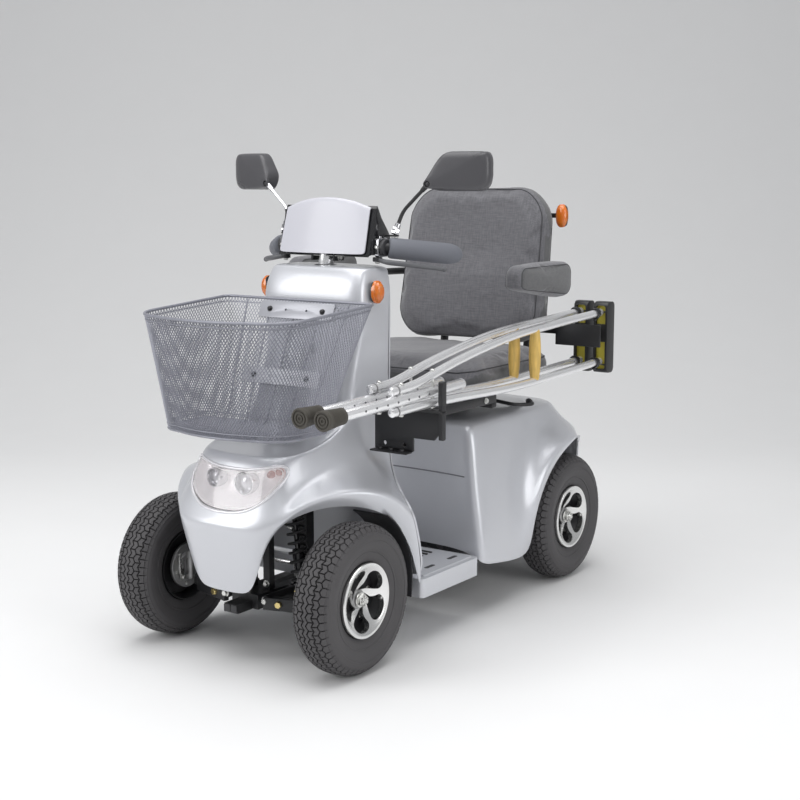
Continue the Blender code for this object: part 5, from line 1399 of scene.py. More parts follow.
def make_stem():
    """Bright steering stem with its sleeve and the black bracket below the console."""
    run = (STEM_TOP - STEM_FOOT).normalized()
    stem = rod("stem_finish", STEM_FOOT + run * 0.014, STEM_TOP - run * 0.02, 0.0125)
    shown(stem, "steering", ["steering_stem"], POLISHED)
    low = STEM_TOP - run * 0.052
    sleeve = turned("stem_sleeve", [(0.013, 0.0), (0.0152, 0.0), (0.0158, 0.001), (0.0158, 0.0265),
                                    (0.013, 0.0265)], low, low + run, 40)
    pieces = [painted(sleeve, POLISHED)]
    for side in (-1, 1):
        ear = side_box("tilt_ear", side, (0.026, -0.206, 0.786), (0.031, -0.172, 0.803), 0.0012)
        pieces.append(painted(ear, BLACK_METAL_AND_BARREL_SHADE))
        spot = Vector((side * 0.031, -0.189, 0.7925))
        pieces.append(painted(hex_bolt("tilt_bolt", spot, (side, 0, 0), 0.01, 0.0045), ZINC))
    web = box("tilt_web", (-0.031, -0.196, 0.7965), (0.031, -0.174, 0.801), 0.001)
    pieces.append(painted(web, BLACK_METAL_AND_BARREL_SHADE))
    shown(joined("tilt_mechanism", pieces), "steering")


def make_mirrors():
    """Mirror stalks with a hexagon foot and rounded heads with a cone at the neck."""
    for side, label, lower_look, upper_look in ((1, "left", BLACK_METAL_AND_BARREL_SHADE, BLACK_METAL_AND_BARREL_SHADE),
                                                (-1, "right", BLACK_METAL_AND_BARREL_SHADE, CHROME)):
        def put(point):
            return Vector((side * point.x, point.y, point.z))

        foot, elbow, neck = put(MIRROR_FOOT), put(MIRROR_ELBOW), put(MIRROR_NECK)
        path = rounded_path([foot, elbow, neck], 0.014, 10)
        split = len(path) // 2
        lower = tube("stalk_lower", path[:split + 1], 0.004, 6)
        upper = tube("stalk_upper", path[split:], 0.0038, 6)
        run = (elbow - foot).normalized()
        nut = turned("stalk_nut", [(0.004, -0.003), (0.0082, -0.003), (0.0088, -0.002), (0.0088, 0.0095),
                                   (0.0078, 0.0108), (0.004, 0.0108)], foot, elbow, 6)
        ferrule = turned("stalk_ferrule", [(0.004, 0.0108), (0.0064, 0.011), (0.006, 0.019),
                                           (0.0046, 0.0205), (0.004, 0.0205)], foot, foot + run, 28)
        rise = (neck - elbow).normalized()
        sleeve = turned("neck_sleeve", [(0.0038, -0.02), (0.0048, -0.0195), (0.0054, -0.01), (0.0054, 0.0),
                                        (0.0038, 0.0)], neck, neck + rise, 28)
        pieces = [painted(lower, lower_look), painted(upper, upper_look), painted(nut, CHROME),
                  painted(ferrule, CHROME), painted(sleeve, upper_look)]
        shown(joined(f"mirror_stalk_finish_{label}", pieces), f"mirror_stalk_{label}",
              [f"mirror_arm_{label}"])

    half = Vector((0.065, 0.018, 0.04))
    turn = Matrix.Translation(MIRROR_CENTRE) @ Matrix.Rotation(MIRROR_YAW, 4, "Z")
    socket = turn.inverted() @ MIRROR_NECK
    shares = ((0.81, 0.98), (0.3, 1.0), (-0.1, 1.0), (-0.4, 0.975), (-0.6, 0.78), (-0.8, 0.32),
              (-0.975, -0.14), (-0.965, -0.46), (-0.86, -0.78), (-0.66, -0.98), (-0.2, -1.0),
              (0.3, -1.0), (0.67, -0.98), (0.91, -0.75), (0.995, -0.31), (1.0, 0.1), (0.995, 0.56),
              (0.94, 0.83))
    outline = [(a * half.x, b * half.z) for a, b in smooth_loop(shares, 3)]
    rings = [[(a, half.y - 0.001, b) for a, b in outline], [(a, half.y - 0.004, b) for a, b in outline]]
    for share, depth in ((0.0, 0.006), (0.012, -0.002), (0.05, -0.0075), (0.13, -0.011), (0.28, -0.0135),
                         (0.5, -0.0155), (0.72, -0.0178), (0.9, -0.0205), (1.0, -0.0225)):
        ring = []
        for a, b in outline:
            reach = sqrt(a * a + b * b)
            end_a = socket.x + 0.0085 * a / reach
            end_b = socket.z + 0.0085 * b / reach
            ring.append((a + (end_a - a) * share, depth, b + (end_b - b) * share))
        rings.append(ring)
    rings.append([(socket.x + (a - socket.x) * 0.75, -0.0222, socket.z + (b - socket.z) * 0.75)
                  for a, _, b in rings[-1]])
    rings.append([(a, -0.013, b) for a, _, b in rings[-1]])
    inner = [[(a * (1 + grow / half.x), depth, b * (1 + grow / half.z)) for a, b in outline]
             for grow, depth in ((-0.0012, half.y), (-0.0042, half.y - 0.0004), (-0.005, half.y - 0.004))]
    rings = list(reversed(inner)) + rings
    count = len(outline)
    points = [point for ring in rings for point in ring]
    faces = ring_faces(len(rings), count)
    faces.append([k for k in range(count)])
    faces.append([(len(rings) - 1) * count + k for k in reversed(range(count))])
    shell = from_lists("mirror_head", points, faces)
    bm = bmesh.new()
    bm.from_mesh(shell.data)
    bmesh.ops.recalc_face_normals(bm, faces=bm.faces)
    bm.to_mesh(shell.data)
    bm.free()
    glass = plate("mirror_glass", [(a * (1 - 0.0052 / half.x), b * (1 - 0.0052 / half.z)) for a,
                  b in outline], 0.0016, "Y", half.y - 0.003, 0.0004)
    shell.data.transform(turn)
    glass.data.transform(turn)
    ball = turned("mirror_ball", [(0, -0.0072), (0.004, -0.006), (0.0064, -0.003), (0.007, 0.0),
                  (0.0064, 0.003), (0.004, 0.006), (0, 0.0072)], MIRROR_NECK,
                  MIRROR_NECK + Vector((0, 0, 1)), 28)
    screw = hex_bolt("mirror_screw", turn @ Vector((-0.028, -0.0163, -0.006)),
                     turn.to_3x3() @ Vector((0, -1, 0)), 0.0055, 0.0016, False)
    head = joined("mirror_head", [painted(shell, DARK_GREY), painted(glass, MIRROR),
                  painted(ball, BLACK_PLASTIC), painted(screw, BLACK_METAL_AND_BARREL_SHADE)])
    both_sides(head, "mirror_head_finish_*", "mirror_head_*", ["mirror_shell_*"],
               angle=32)


def make_lamps():
    """Amber turn signals: oval domed lenses with an inner ring, on black bases."""
    def full(value):
        return abs(value) ** 0.85 * (1 if value > 0 else -1)

    def signal(name, middle, out, tall, wide, depth, body, node, two_sided=False):
        out = Vector(out).normalized()
        up = Vector((0, 0, 1))
        side = up.cross(out).normalized()
        frame_turn = axis_turn(side, up, out)
        rings = []
        steps = 36
        for scale, height in ((1.0, 0.0), (1.0, 0.3), (0.97, 0.42), (0.9, 0.45), (0.86, 0.52), (0.8, 0.7),
                              (0.66, 0.86), (0.45, 0.96), (0.2, 1.0)):
            rings.append([(wide / 2 * scale * full(cos(2 * pi * k / steps)),
                           tall / 2 * scale * full(sin(2 * pi * k / steps)), height * depth)
                          for k in range(steps)])
        faces = ring_faces(len(rings), steps)
        faces.append([(len(rings) - 1) * steps + k for k in range(steps)])
        faces.append([k for k in reversed(range(steps))])
        lens = from_lists(name, [point for ring in rings for point in ring], faces)
        lenses = [painted(lens, AMBER)]
        if two_sided:
            back = place(f"{name}_back", lens.data.copy())
            back.data.transform(Matrix.Translation((0, 0, -0.0024)) @ Matrix.Rotation(pi, 4, "Y"))
            lenses.append(back)
        rings = [tube("lens_ring", [(wide / 2 * share * cos(2 * pi * k / 40), tall / 2 * share
                                     * sin(2 * pi * k / 40), depth * high) for k in range(40)],
                      0.0007, 3, True) for share, high in ((0.885, 0.49), (0.52, 0.925))]
        base = rounded_slab("lamp_base", (-wide * 0.46, -tall * 0.46, -0.0012),
                            (wide * 0.46, tall * 0.46, 0.0012), wide * 0.3, 0.0006)
        pieces = lenses + [painted(base, BLACK_PLASTIC)] + [painted(ring, AMBER) for ring in rings]
        made = joined(name, pieces)
        made.data.transform(Matrix.Translation(Vector(middle)) @ frame_turn)
        both_sides(made, f"{name}_finish_*", body, [f"{node}_*"], angle=40)

    signal("column_lamp", (0.14, -0.211, 0.727), (1, -0.1, 0), 0.047, 0.03, 0.0168, "chassis",
           "column_lamp")
    signal("rear_lamp", (0.2, 0.47, 0.866), (0, 1, 0.0), 0.055, 0.0295, 0.0095, "seat", "rear_lamp", True)


LEVER_GREY = look("lever_grey", (0.105, 0.107, 0.115), 0.45, spread=0.06, grain=0.15, grain_scale=1200.0)
LED_RED = look("led_red", (0.55, 0.02, 0.02), 0.2, spread=0.1)
LED_AMBER = look("led_amber", (0.7, 0.28, 0.02), 0.2, spread=0.1)
LED_GREEN = look("led_green", (0.05, 0.45, 0.07), 0.2, spread=0.1)

make_console()
make_clamps()
make_bar()
make_levers()
make_switches()
make_stem()
make_mirrors()
make_lamps()


# ---------------------------------------------------------------- basket
STRAND = 0.001


def basket_ring(half, front, rear, z_front, z_rear, corner_front, corner_rear):
    """One horizontal loop of the basket, with a bowed front and large front corners."""
    flat = half - corner_front
    plan = [(flat * share, front - BASKET_BOW * (1 - share * share))
            for share in (-0.75, -0.5, -0.25, 0.0, 0.25, 0.5, 0.75)]
    plan += arc_points((half - corner_front, front + corner_front), corner_front, -90, 0, 8)
    plan += arc_points((half - corner_rear, rear - corner_rear), corner_rear, 0, 90, 4)
    plan += arc_points((-half + corner_rear, rear - corner_rear), corner_rear, 90, 180, 4)
    plan += arc_points((-half + corner_front, front + corner_front), corner_front, 180, 270, 8)
    return [Vector((x, y, z_front + (z_rear - z_front) * (y - front) / (rear - front))) for x, y in plan]


class Loop:
    """A closed line that can be read at any share of its length."""

    def __init__(self, points):
        self.points = points + [points[0]]
        self.marks = [0.0]
        for first, second in zip(self.points, self.points[1:]):
            self.marks.append(self.marks[-1] + (second - first).length)

    def at(self, share):
        """The point at a share (wrapping) of the whole length."""
        reach = (share % 1.0) * self.marks[-1]
        low, high = 0, len(self.marks) - 1
        while high - low > 1:
            middle = (low + high) // 2
            if self.marks[middle] <= reach:
                low = middle
            else:
                high = middle
        part = (reach - self.marks[low]) / (self.marks[high] - self.marks[low])
        return self.points[low].lerp(self.points[high], part)


def strand_mesh(name, lines, radius):
    """Thin three-sided strands through lists of points, closed at their ends."""
    points, faces = [], []
    for line in lines:
        start = len(points)
        count = len(line)
        for index, point in enumerate(line):
            ahead = line[min(index + 1, count - 1)] - line[max(index - 1, 0)]
            run = ahead.normalized()
            side = run.cross(Vector((0.03, 0.05, 1.0)) if abs(run.z) < 0.95
                             else Vector((0, 1, 0))).normalized()
            lift = run.cross(side)
            for turn in (0.5236, 2.618, 4.712):
                points.append(point + side * (radius * cos(turn)) + lift * (radius * sin(turn)))
        for index in range(count - 1):
            for k in range(3):
                after = (k + 1) % 3
                faces.append((start + index * 3 + k, start + index * 3 + after,
                              start + index * 3 + 3 + after, start + index * 3 + 3 + k))
        faces.append((start + 2, start + 1, start))
        end = start + (count - 1) * 3
        faces.append((end, end + 1, end + 2))
    return from_lists(name, points, faces)


def make_basket():
    """Open basket of fine expanded mesh between wire hoops, on a bracket."""
    rim = Loop(basket_ring(0.193, -0.58, -0.2945, 0.6925, 0.7105, 0.068, 0.012))
    foot_plan = basket_ring(0.16, -0.55, -0.4018, 0.466, 0.468, 0.06, 0.016)
    foot = Loop(foot_plan)
    rim_length = rim.marks[-1]
    slope = 0.242
    pitch = 0.008
    around = 2 * (int(rim_length / pitch) // 2)
    rows = 2 * int(slope / 0.0052 / 2)

    def wall(share, up):
        low, high = foot.at(share), rim.at(share)
        return low.lerp(high, up)

    lines = []
    for direction in (1, -1):
        for k in range(around):
            line = []
            for row in range(rows + 1):
                up = row / rows
                line.append(wall((k + direction * row * 0.5) / around, up))
            lines.append(line)
    mesh_walls = strand_mesh("basket_mesh", lines, STRAND)
    floor_lines = []
    inside = [(point.x, point.y) for point in foot_plan]
    step_x, step_y = 0.008, 0.0052
    for direction in (1, -1):
        for k in range(-70, 71):
            spots = []
            for row in range(-4, 46):
                y = -0.58 + row * step_y
                x = (k + direction * row * 0.5) * step_x
                if within((x, y), inside):
                    spots.append(Vector((x, y, 0.4662 + (y + 0.554) * 0.0125)))
                else:
                    if len(spots) > 1:
                        floor_lines.append(spots)
                    spots = []
            if len(spots) > 1:
                floor_lines.append(spots)
    mesh_floor = strand_mesh("basket_floor_mesh", floor_lines, STRAND)

    def hoop(up, radius, name, push=0.0):
        points = []
        for k in range(140):
            point = wall(k / 140, up)
            middle = Vector((0, -0.44, point.z))
            points.append(point + (point - middle).normalized() * push)
        return tube(name, points, radius, 4, cyclic=True)

    hoops = [hoop(1.0, 0.0029, "rim_hoop"), hoop(0.955, 0.0012, "under_hoop", 0.0008),
             hoop(0.0, 0.0026, "foot_hoop"), hoop(0.045, 0.0012, "low_hoop", 0.0008)]
    wires = []
    for x in (-0.118, -0.06, 0.0, 0.06, 0.118):
        top = Vector((x * 1.12, -0.2968, 0.7065))
        bottom = Vector((x * 0.86, -0.404, 0.469))
        under = Vector((x * 0.86, -0.548, 0.4636))
        wires.append(tube("rear_wire", rounded_path([top, bottom, under], 0.012, 5), 0.0017, 4))
    for y in (-0.52, -0.472, -0.425):
        wires.append(tube("floor_wire", [(-0.15, y, 0.4638), (0.15, y, 0.4638)], 0.0016, 4))
    pieces = [painted(piece, BASKET_GREY) for piece in
              [mesh_walls, mesh_floor] + hoops + wires]
    slope_up = Vector((0, 0.105, 0.238)).normalized()
    out = Vector((0, -slope_up.z, slope_up.y)).normalized()
    for up, aside, half_wide, half_high in ((0.925, 0.005, 0.095, 0.018), (0.38, 0.009, 0.099, 0.017)):
        middle = Vector((aside, -0.4035, 0.469)).lerp(Vector((aside, -0.2965, 0.7065)), up) + out * 0.0026
        holes = [circle((x, 0.0), 0.0024, 12) for x in (-half_wide * 0.28, half_wide * 0.28)]
        bar = plate("basket_plate", slab_outline(-half_wide, -half_high, half_wide, half_high, 0.005, 4),
                    0.002, "Z", 0.0, 0.0005, holes)
        turn = axis_turn(ACROSS, slope_up, -out)
        bar.data.transform(Matrix.Translation(middle) @ turn)
        pieces.append(painted(bar, BASKET_PLATE))
        for x in (-0.068, 0.068):
            bolt = hex_bolt("basket_bolt", middle + Vector((x, 0, 0)) + out * 0.001, out, 0.009, 0.0042)
            pieces.append(painted(bolt, BLACK_METAL_AND_BARREL_SHADE))
    basket = joined("basket_finish", pieces)
    basket.data.transform(Matrix.Translation((BASKET_SHIFT, 0, 0)))
    shown(basket, "chassis", ["basket"], angle=60)


def within(point, outline):
    """True when a plane point lies inside a closed outline."""
    inside = False
    x, y = point
    for (ax, ay), (bx, by) in zip(outline, outline[1:] + outline[:1]):
        if (ay > y) != (by > y) and x < (bx - ax) * (y - ay) / (by - ay) + ax:
            inside = not inside
    return inside


def make_bracket():
    """Pressed bracket between the column and the basket: cheeks, web and bolts."""
    outline = [(-0.2855, 0.462), (-0.261, 0.59), (-0.253, 0.652), (-0.311, 0.652), (-0.322, 0.64),
               (-0.366, 0.528), (-0.4, 0.4625)]
    middle = (-0.318, 0.55)
    holes = [circle(middle, 0.02, 24), circle((-0.33, 0.492), 0.015, 20), circle((-0.291, 0.612), 0.012, 20)]
    pieces = []
    for x in (-0.0435, 0.0435):
        cheek = plate("bracket_cheek", outline, 0.003, "X", x, 0.0008, holes)
        pieces.append(painted(cheek, SILVER))
    for (y0, z0), (y1, z1) in zip(outline[3:6], outline[4:7]):
        run = Vector((0, y1 - y0, z1 - z0))
        out = Vector((0, run.z, -run.y)).normalized()
        length = run.length
        web = box("bracket_web", (-0.0435, -length / 2, -0.0012), (0.0435, length / 2, 0.0012), 0.0005)
        turn = axis_turn(ACROSS, run.normalized(), out)
        place_at = Vector((0, (y0 + y1) / 2, (z0 + z1) / 2)) + Vector((0, 0.0016, -0.0006))
        web.data.transform(Matrix.Translation(place_at) @ turn)
        pieces.append(painted(web, SILVER))
    for y, z in ((-0.3, 0.636), (-0.372, 0.476)):
        for x in (-0.045, 0.045):
            side = 1 if x > 0 else -1
            pieces.append(painted(hex_bolt("bracket_bolt", (x - side * 0.0012, y, z), (side, 0, 0), 0.01,
                                  0.004), ZINC))
    shown(joined("bracket_finish", pieces), "chassis", ["basket_bracket"])


BASKET_PLATE = look("coated_plate", (0.42, 0.425, 0.46), 0.36, 0.3, spread=0.05, grain=0.1)

make_basket()
make_bracket()


# ---------------------------------------------------------------- seat
CLOTH_FRAMES = 20
CORD_RESOLUTION = 4


def inflated(made, pressure, cap, voxel=0.006):
    """Swell a closed form into a padded one: remesh, cloth pressure, a limit, one subdivision."""
    remesh = made.modifiers.new("remesh", "REMESH")
    remesh.mode = "VOXEL"
    remesh.voxel_size = voxel
    made = baked(made)
    start = [vert.co.copy() for vert in made.data.vertices]
    cloth = made.modifiers.new("cloth", "CLOTH")
    cloth.settings.quality = 5
    cloth.settings.mass = 0.3
    cloth.settings.use_pressure = True
    cloth.settings.uniform_pressure_force = pressure
    cloth.settings.tension_stiffness = 15
    cloth.settings.compression_stiffness = 15
    cloth.settings.bending_stiffness = 0.6
    cloth.settings.effector_weights.gravity = 0
    cloth.collision_settings.use_collision = False
    cloth.point_cache.frame_start = 1
    cloth.point_cache.frame_end = CLOTH_FRAMES
    for step in range(1, CLOTH_FRAMES + 1):
        SCENE.frame_set(step)
    graph = bpy.context.evaluated_depsgraph_get()
    moved = made.evaluated_get(graph).data
    ends = [vert.co.copy() for vert in moved.vertices]
    made.modifiers.remove(cloth)
    for vert, before, after in zip(made.data.vertices, start, ends):
        push = after - before
        if push.length > cap:
            push *= cap / push.length
        vert.co = before + push
    SCENE.frame_set(1)
    return subdivided(made, 1)


def fitted(made, low, high):
    """Scale a form so that it exactly fills a box."""
    points = [vert.co for vert in made.data.vertices]
    least = Vector([min(point[axis] for point in points) for axis in range(3)])
    most = Vector([max(point[axis] for point in points) for axis in range(3)])
    low, high = Vector(low), Vector(high)
    scale = [(high[axis] - low[axis]) / (most[axis] - least[axis]) for axis in range(3)]
    made.data.transform(Matrix.Translation(low) @ Matrix.Diagonal((*scale, 1)) @ Matrix.Translation(-least))
    return made


def pillow(name, half_a, half_b, corner, profile):
    """A closed form about the origin: rounded outlines stacked along +Z, one for each
    (inset, height) of the profile."""
    outline = slab_outline(-half_a, -half_b, half_a, half_b, corner, 10)
    dense_outline = []
    for (a, b), (c, d) in zip(outline, outline[1:] + outline[:1]):
        gap = sqrt((c - a) ** 2 + (d - b) ** 2)
        parts = max(1, int(gap / 0.02))
        dense_outline += [(a + (c - a) * k / parts, b + (d - b) * k / parts) for k in range(parts)]
    count = len(dense_outline)
    points = [(a * (1 - inset / half_a), b * (1 - inset / half_b), height)
              for inset, height in profile for a, b in dense_outline]
    rows = len(profile)
    faces = ring_faces(rows, count)
    points += [(0, 0, profile[0][1]), (0, 0, profile[-1][1])]
    for k in range(count):
        after = (k + 1) % count
        faces.append((rows * count, after, k))
        faces.append((rows * count + 1, (rows - 1) * count + k, (rows - 1) * count + after))
    return from_lists(name, points, faces)


def clad(form, is_side):
    """Cover a padded form with seat cloth, and its side band with the darker cloth."""
    form.data.materials.clear()
    form.data.materials.append(SEAT_CLOTH)
    form.data.materials.append(SIDE_CLOTH)
    for face in form.data.polygons:
        if is_side(face.normal):
            face.material_index = 1


def seam_loop(name, half_a, half_b, corner, height, radius):
    """A piping cord round a rounded outline at one height."""
    outline = slab_outline(-half_a, -half_b, half_a, half_b, corner, 12)
    points = [(a, b, height) for a, b in outline]
    return tube(name, points, radius, CORD_RESOLUTION, cyclic=True)


def snapped(cord, target, lift):
    """Move a cord's points onto a padded surface, standing slightly proud of it."""
    tree = surface_tree(target)
    mesh = cord.data
    count = len(mesh.vertices)
    ring = 2 * CORD_RESOLUTION + 4
    for start in range(0, count, ring):
        verts = mesh.vertices[start:start + ring]
        middle = sum((vert.co for vert in verts), Vector()) / len(verts)
        where, normal, _, _ = tree.find_nearest(middle)
        shift = where + normal * lift - middle
        for vert in verts:
            vert.co += shift
    return cord


def make_seat_cushion():
    """Seat cushion with a crowned top, rolled front edge and darker side band."""
    low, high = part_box("seat_cushion")
    half_x, half_y = (high.x - low.x) / 2, (high.y - low.y) / 2
    tall = high.z - low.z
    form = pillow("seat_cushion_form", half_x - 0.01, half_y - 0.01, 0.065,
                  [(0.016, 0.006), (0.004, 0.012), (0.001, 0.022), (0.0, tall * 0.55), (0.004, tall - 0.022),
                   (0.014, tall - 0.013), (0.05, tall - 0.009), (0.12, tall - 0.007)])
    form = inflated(form, 3.5, 0.014)
    form = fitted(form, (-half_x, -half_y, 0.0), (half_x, half_y, tall + 0.006))
    for vert in form.data.vertices:
        point = vert.co
        across, along = point.x / half_x, point.y / half_y
        if point.z > tall * 0.5:
            dip = 0.006 * max(0.0, 1 - (across / 0.75) ** 2) * max(0.0, 1 - ((along - 0.15) / 0.75) ** 2)
            point.z -= dip
            if along < -0.55:
                point.z -= 0.01 * ((-along - 0.55) / 0.45) ** 2
        wrinkle = sin(point.x * 61 + 0.8 * sin(point.y * 37)) * sin(point.y * 23 + 1.3)
        if point.z > tall * 0.6:
            point.z += 0.0009 * wrinkle
    clad(form, lambda normal: normal.z <= 0.32)
    cord = seam_loop("cushion_piping", half_x - 0.004, half_y - 0.004, 0.06, tall - 0.018, 0.0015)
    low_cord = seam_loop("cushion_low_piping", half_x - 0.004, half_y - 0.004, 0.06, 0.014, 0.0014)
    snapped(cord, form, 0.0006)
    snapped(low_cord, form, 0.0004)
    move = Matrix.Translation(((low.x + high.x) / 2, (low.y + high.y) / 2, low.z))
    made = joined("seat_cushion_finish", [form, painted(cord, PIPING_AND_SLOT_SHADE), painted(low_cord, PIPING_AND_SLOT_SHADE)])
    made.data.transform(move)
    shown(made, "seat", ["seat_cushion"], angle=60)


def shape_back(point, half_x, half_z, deep):
    """Narrow a backrest point towards the front and the top, and arch the top edge."""
    across, up = point.x / half_x, max(0.0, point.y / half_z)
    front = max(0.0, min(1.0, (deep - point.z) / (2 * deep)))
    point.y -= 0.012 * up * up * across ** 4
    point.x *= (1 - 0.075 * up ** 1.5) * (1 - 0.045 * front)
    point.z += 0.012 * front * point.y / half_z


def make_seat_back():
    """Backrest: a crowned front with lumbar shape, piped edge, side band and rear cover."""
    half_x, half_z, deep = 0.208, 0.186, 0.034
    form = pillow("seat_back_form", half_x - 0.008, half_z - 0.008, 0.078,
                  [(0.12, -deep + 0.004), (0.05, -deep + 0.004), (0.014, -deep + 0.006),
                   (0.004, -deep + 0.011), (0.0, -deep + 0.02), (0.0, deep - 0.02),
                   (0.004, deep - 0.012), (0.016, deep - 0.007), (0.05, deep - 0.005), (0.12, deep - 0.004)])
    form = inflated(form, 3.0, 0.012)
    form = fitted(form, (-half_x, -half_z, -deep - 0.004), (half_x, half_z, deep + 0.002))
    for vert in form.data.vertices:
        point = vert.co
        across, up = point.x / half_x, point.y / half_z
        if point.z < -deep * 0.3:
            lumbar = 0.007 * max(0.0, 1 - ((up + 0.35) / 0.5) ** 2) * max(0.0, 1 - across ** 2)
            wings = 0.006 * max(0.0, abs(across) - 0.62) / 0.38
            hollow = 0.006 * max(0.0, 1 - ((up - 0.35) / 0.5) ** 2) * max(0.0, 1 - (across / 0.7) ** 2)
            point.z += hollow - lumbar * 0.8 - wings * (1 - abs(across)) * 2
            point.z += 0.0008 * sin(point.y * 47 + 0.9 * sin(point.x * 31)) * sin(point.x * 19 + 0.7)
        shape_back(point, half_x, half_z, deep)
    clad(form, lambda normal: normal.z > -0.3)
    front_cord = seam_loop("back_piping", half_x - 0.002, half_z - 0.002, 0.078, -deep + 0.006, 0.0013)
    rear_cord = seam_loop("back_rear_piping", half_x - 0.002, half_z - 0.002, 0.078, deep - 0.01, 0.0013)
    for cord in (front_cord, rear_cord):
        for vert in cord.data.vertices:
            shape_back(vert.co, half_x, half_z, deep)
        snapped(cord, form, 0.0003)
    zip_line = tube("cover_zip", [(-0.13, -half_z + 0.04, deep + 0.0032),
                    (0.13, -half_z + 0.04, deep + 0.0032)], 0.0016, 3)
    snapped(zip_line, form, 0.0004)
    made = joined("seat_back_finish", [form] + [painted(cord, PIPING_AND_SLOT_SHADE)
                                                for cord in (front_cord, rear_cord, zip_line)])
    upright = Matrix(((1, 0, 0, 0), (0, 0, 1, 0), (0, 1, 0, 0.186), (0, 0, 0, 1)))
    back_place = Matrix.Translation((0, 0.379, 0.566))
    made.data.transform(back_place @ Matrix.Rotation(-radians(7), 4, "X") @ upright)
    made.data.flip_normals()
    shown(made, "seat", ["seat_back"], angle=60)


def make_armrests():
    """Padded armrests with a piped side panel, on a hinge pin."""
    low, high = Vector((0.272, 0.066, 0.692)), Vector((0.326, 0.3, 0.774))
    middle = (low + high) / 2
    half_y, half_z, half_x = (high.y - low.y) / 2, (high.z - low.z) / 2, (high.x - low.x) / 2
    form = pillow("armrest_form", half_y - 0.004, half_z - 0.004, 0.024, [(0.026, -half_x + 0.003),
                  (0.01, -half_x + 0.004), (0.003, -half_x + 0.008), (0.0, -half_x + 0.016),
                  (0.0, half_x - 0.016), (0.003, half_x - 0.008), (0.01, half_x - 0.004),
                  (0.026, half_x - 0.003)])
    form = inflated(form, 4.0, 0.005, 0.004)
    form = fitted(form, (-half_y, -half_z, -half_x), (half_y, half_z, half_x))

    def taper(points):
        for vert in points:
            if vert.co.y < 0:
                front = max(0.0, min(1.0, (0.62 * half_y - vert.co.x) / (1.62 * half_y)))
                vert.co.y *= 1.06 - 0.68 * front

    taper(form.data.vertices)
    clad(form, lambda normal: abs(normal.z) > 0.75)
    cords = []
    for height in (-half_x + 0.0045, half_x - 0.0045):
        cord = seam_loop("arm_piping", half_y - 0.006, half_z - 0.006, 0.022, height, 0.0009)
        taper(cord.data.vertices)
        cords.append(painted(snapped(cord, form, 0.0001), PIPING_AND_SLOT_SHADE))
    made = joined("armrest_pad", [form] + cords)
    turn = Matrix(((0, 0, 1, middle.x), (1, 0, 0, middle.y), (0, 1, 0, middle.z), (0, 0, 0, 1)))
    made.data.transform(turn)
    pin = rod("arm_pin", (0.256, 0.262, ARM_BAR_Z), (0.2765, 0.262, ARM_BAR_Z), 0.01)
    disc = rod("arm_disc", (0.2662, 0.262, ARM_BAR_Z), (0.2715, 0.262, ARM_BAR_Z), 0.0155)
    made = joined("armrest", [made, painted(pin, BLACK_METAL_AND_BARREL_SHADE), painted(disc, BLACK_METAL_AND_BARREL_SHADE)])
    both_sides(made, "armrest_finish_*", "rest_*", ["armrest_*"], angle=60)


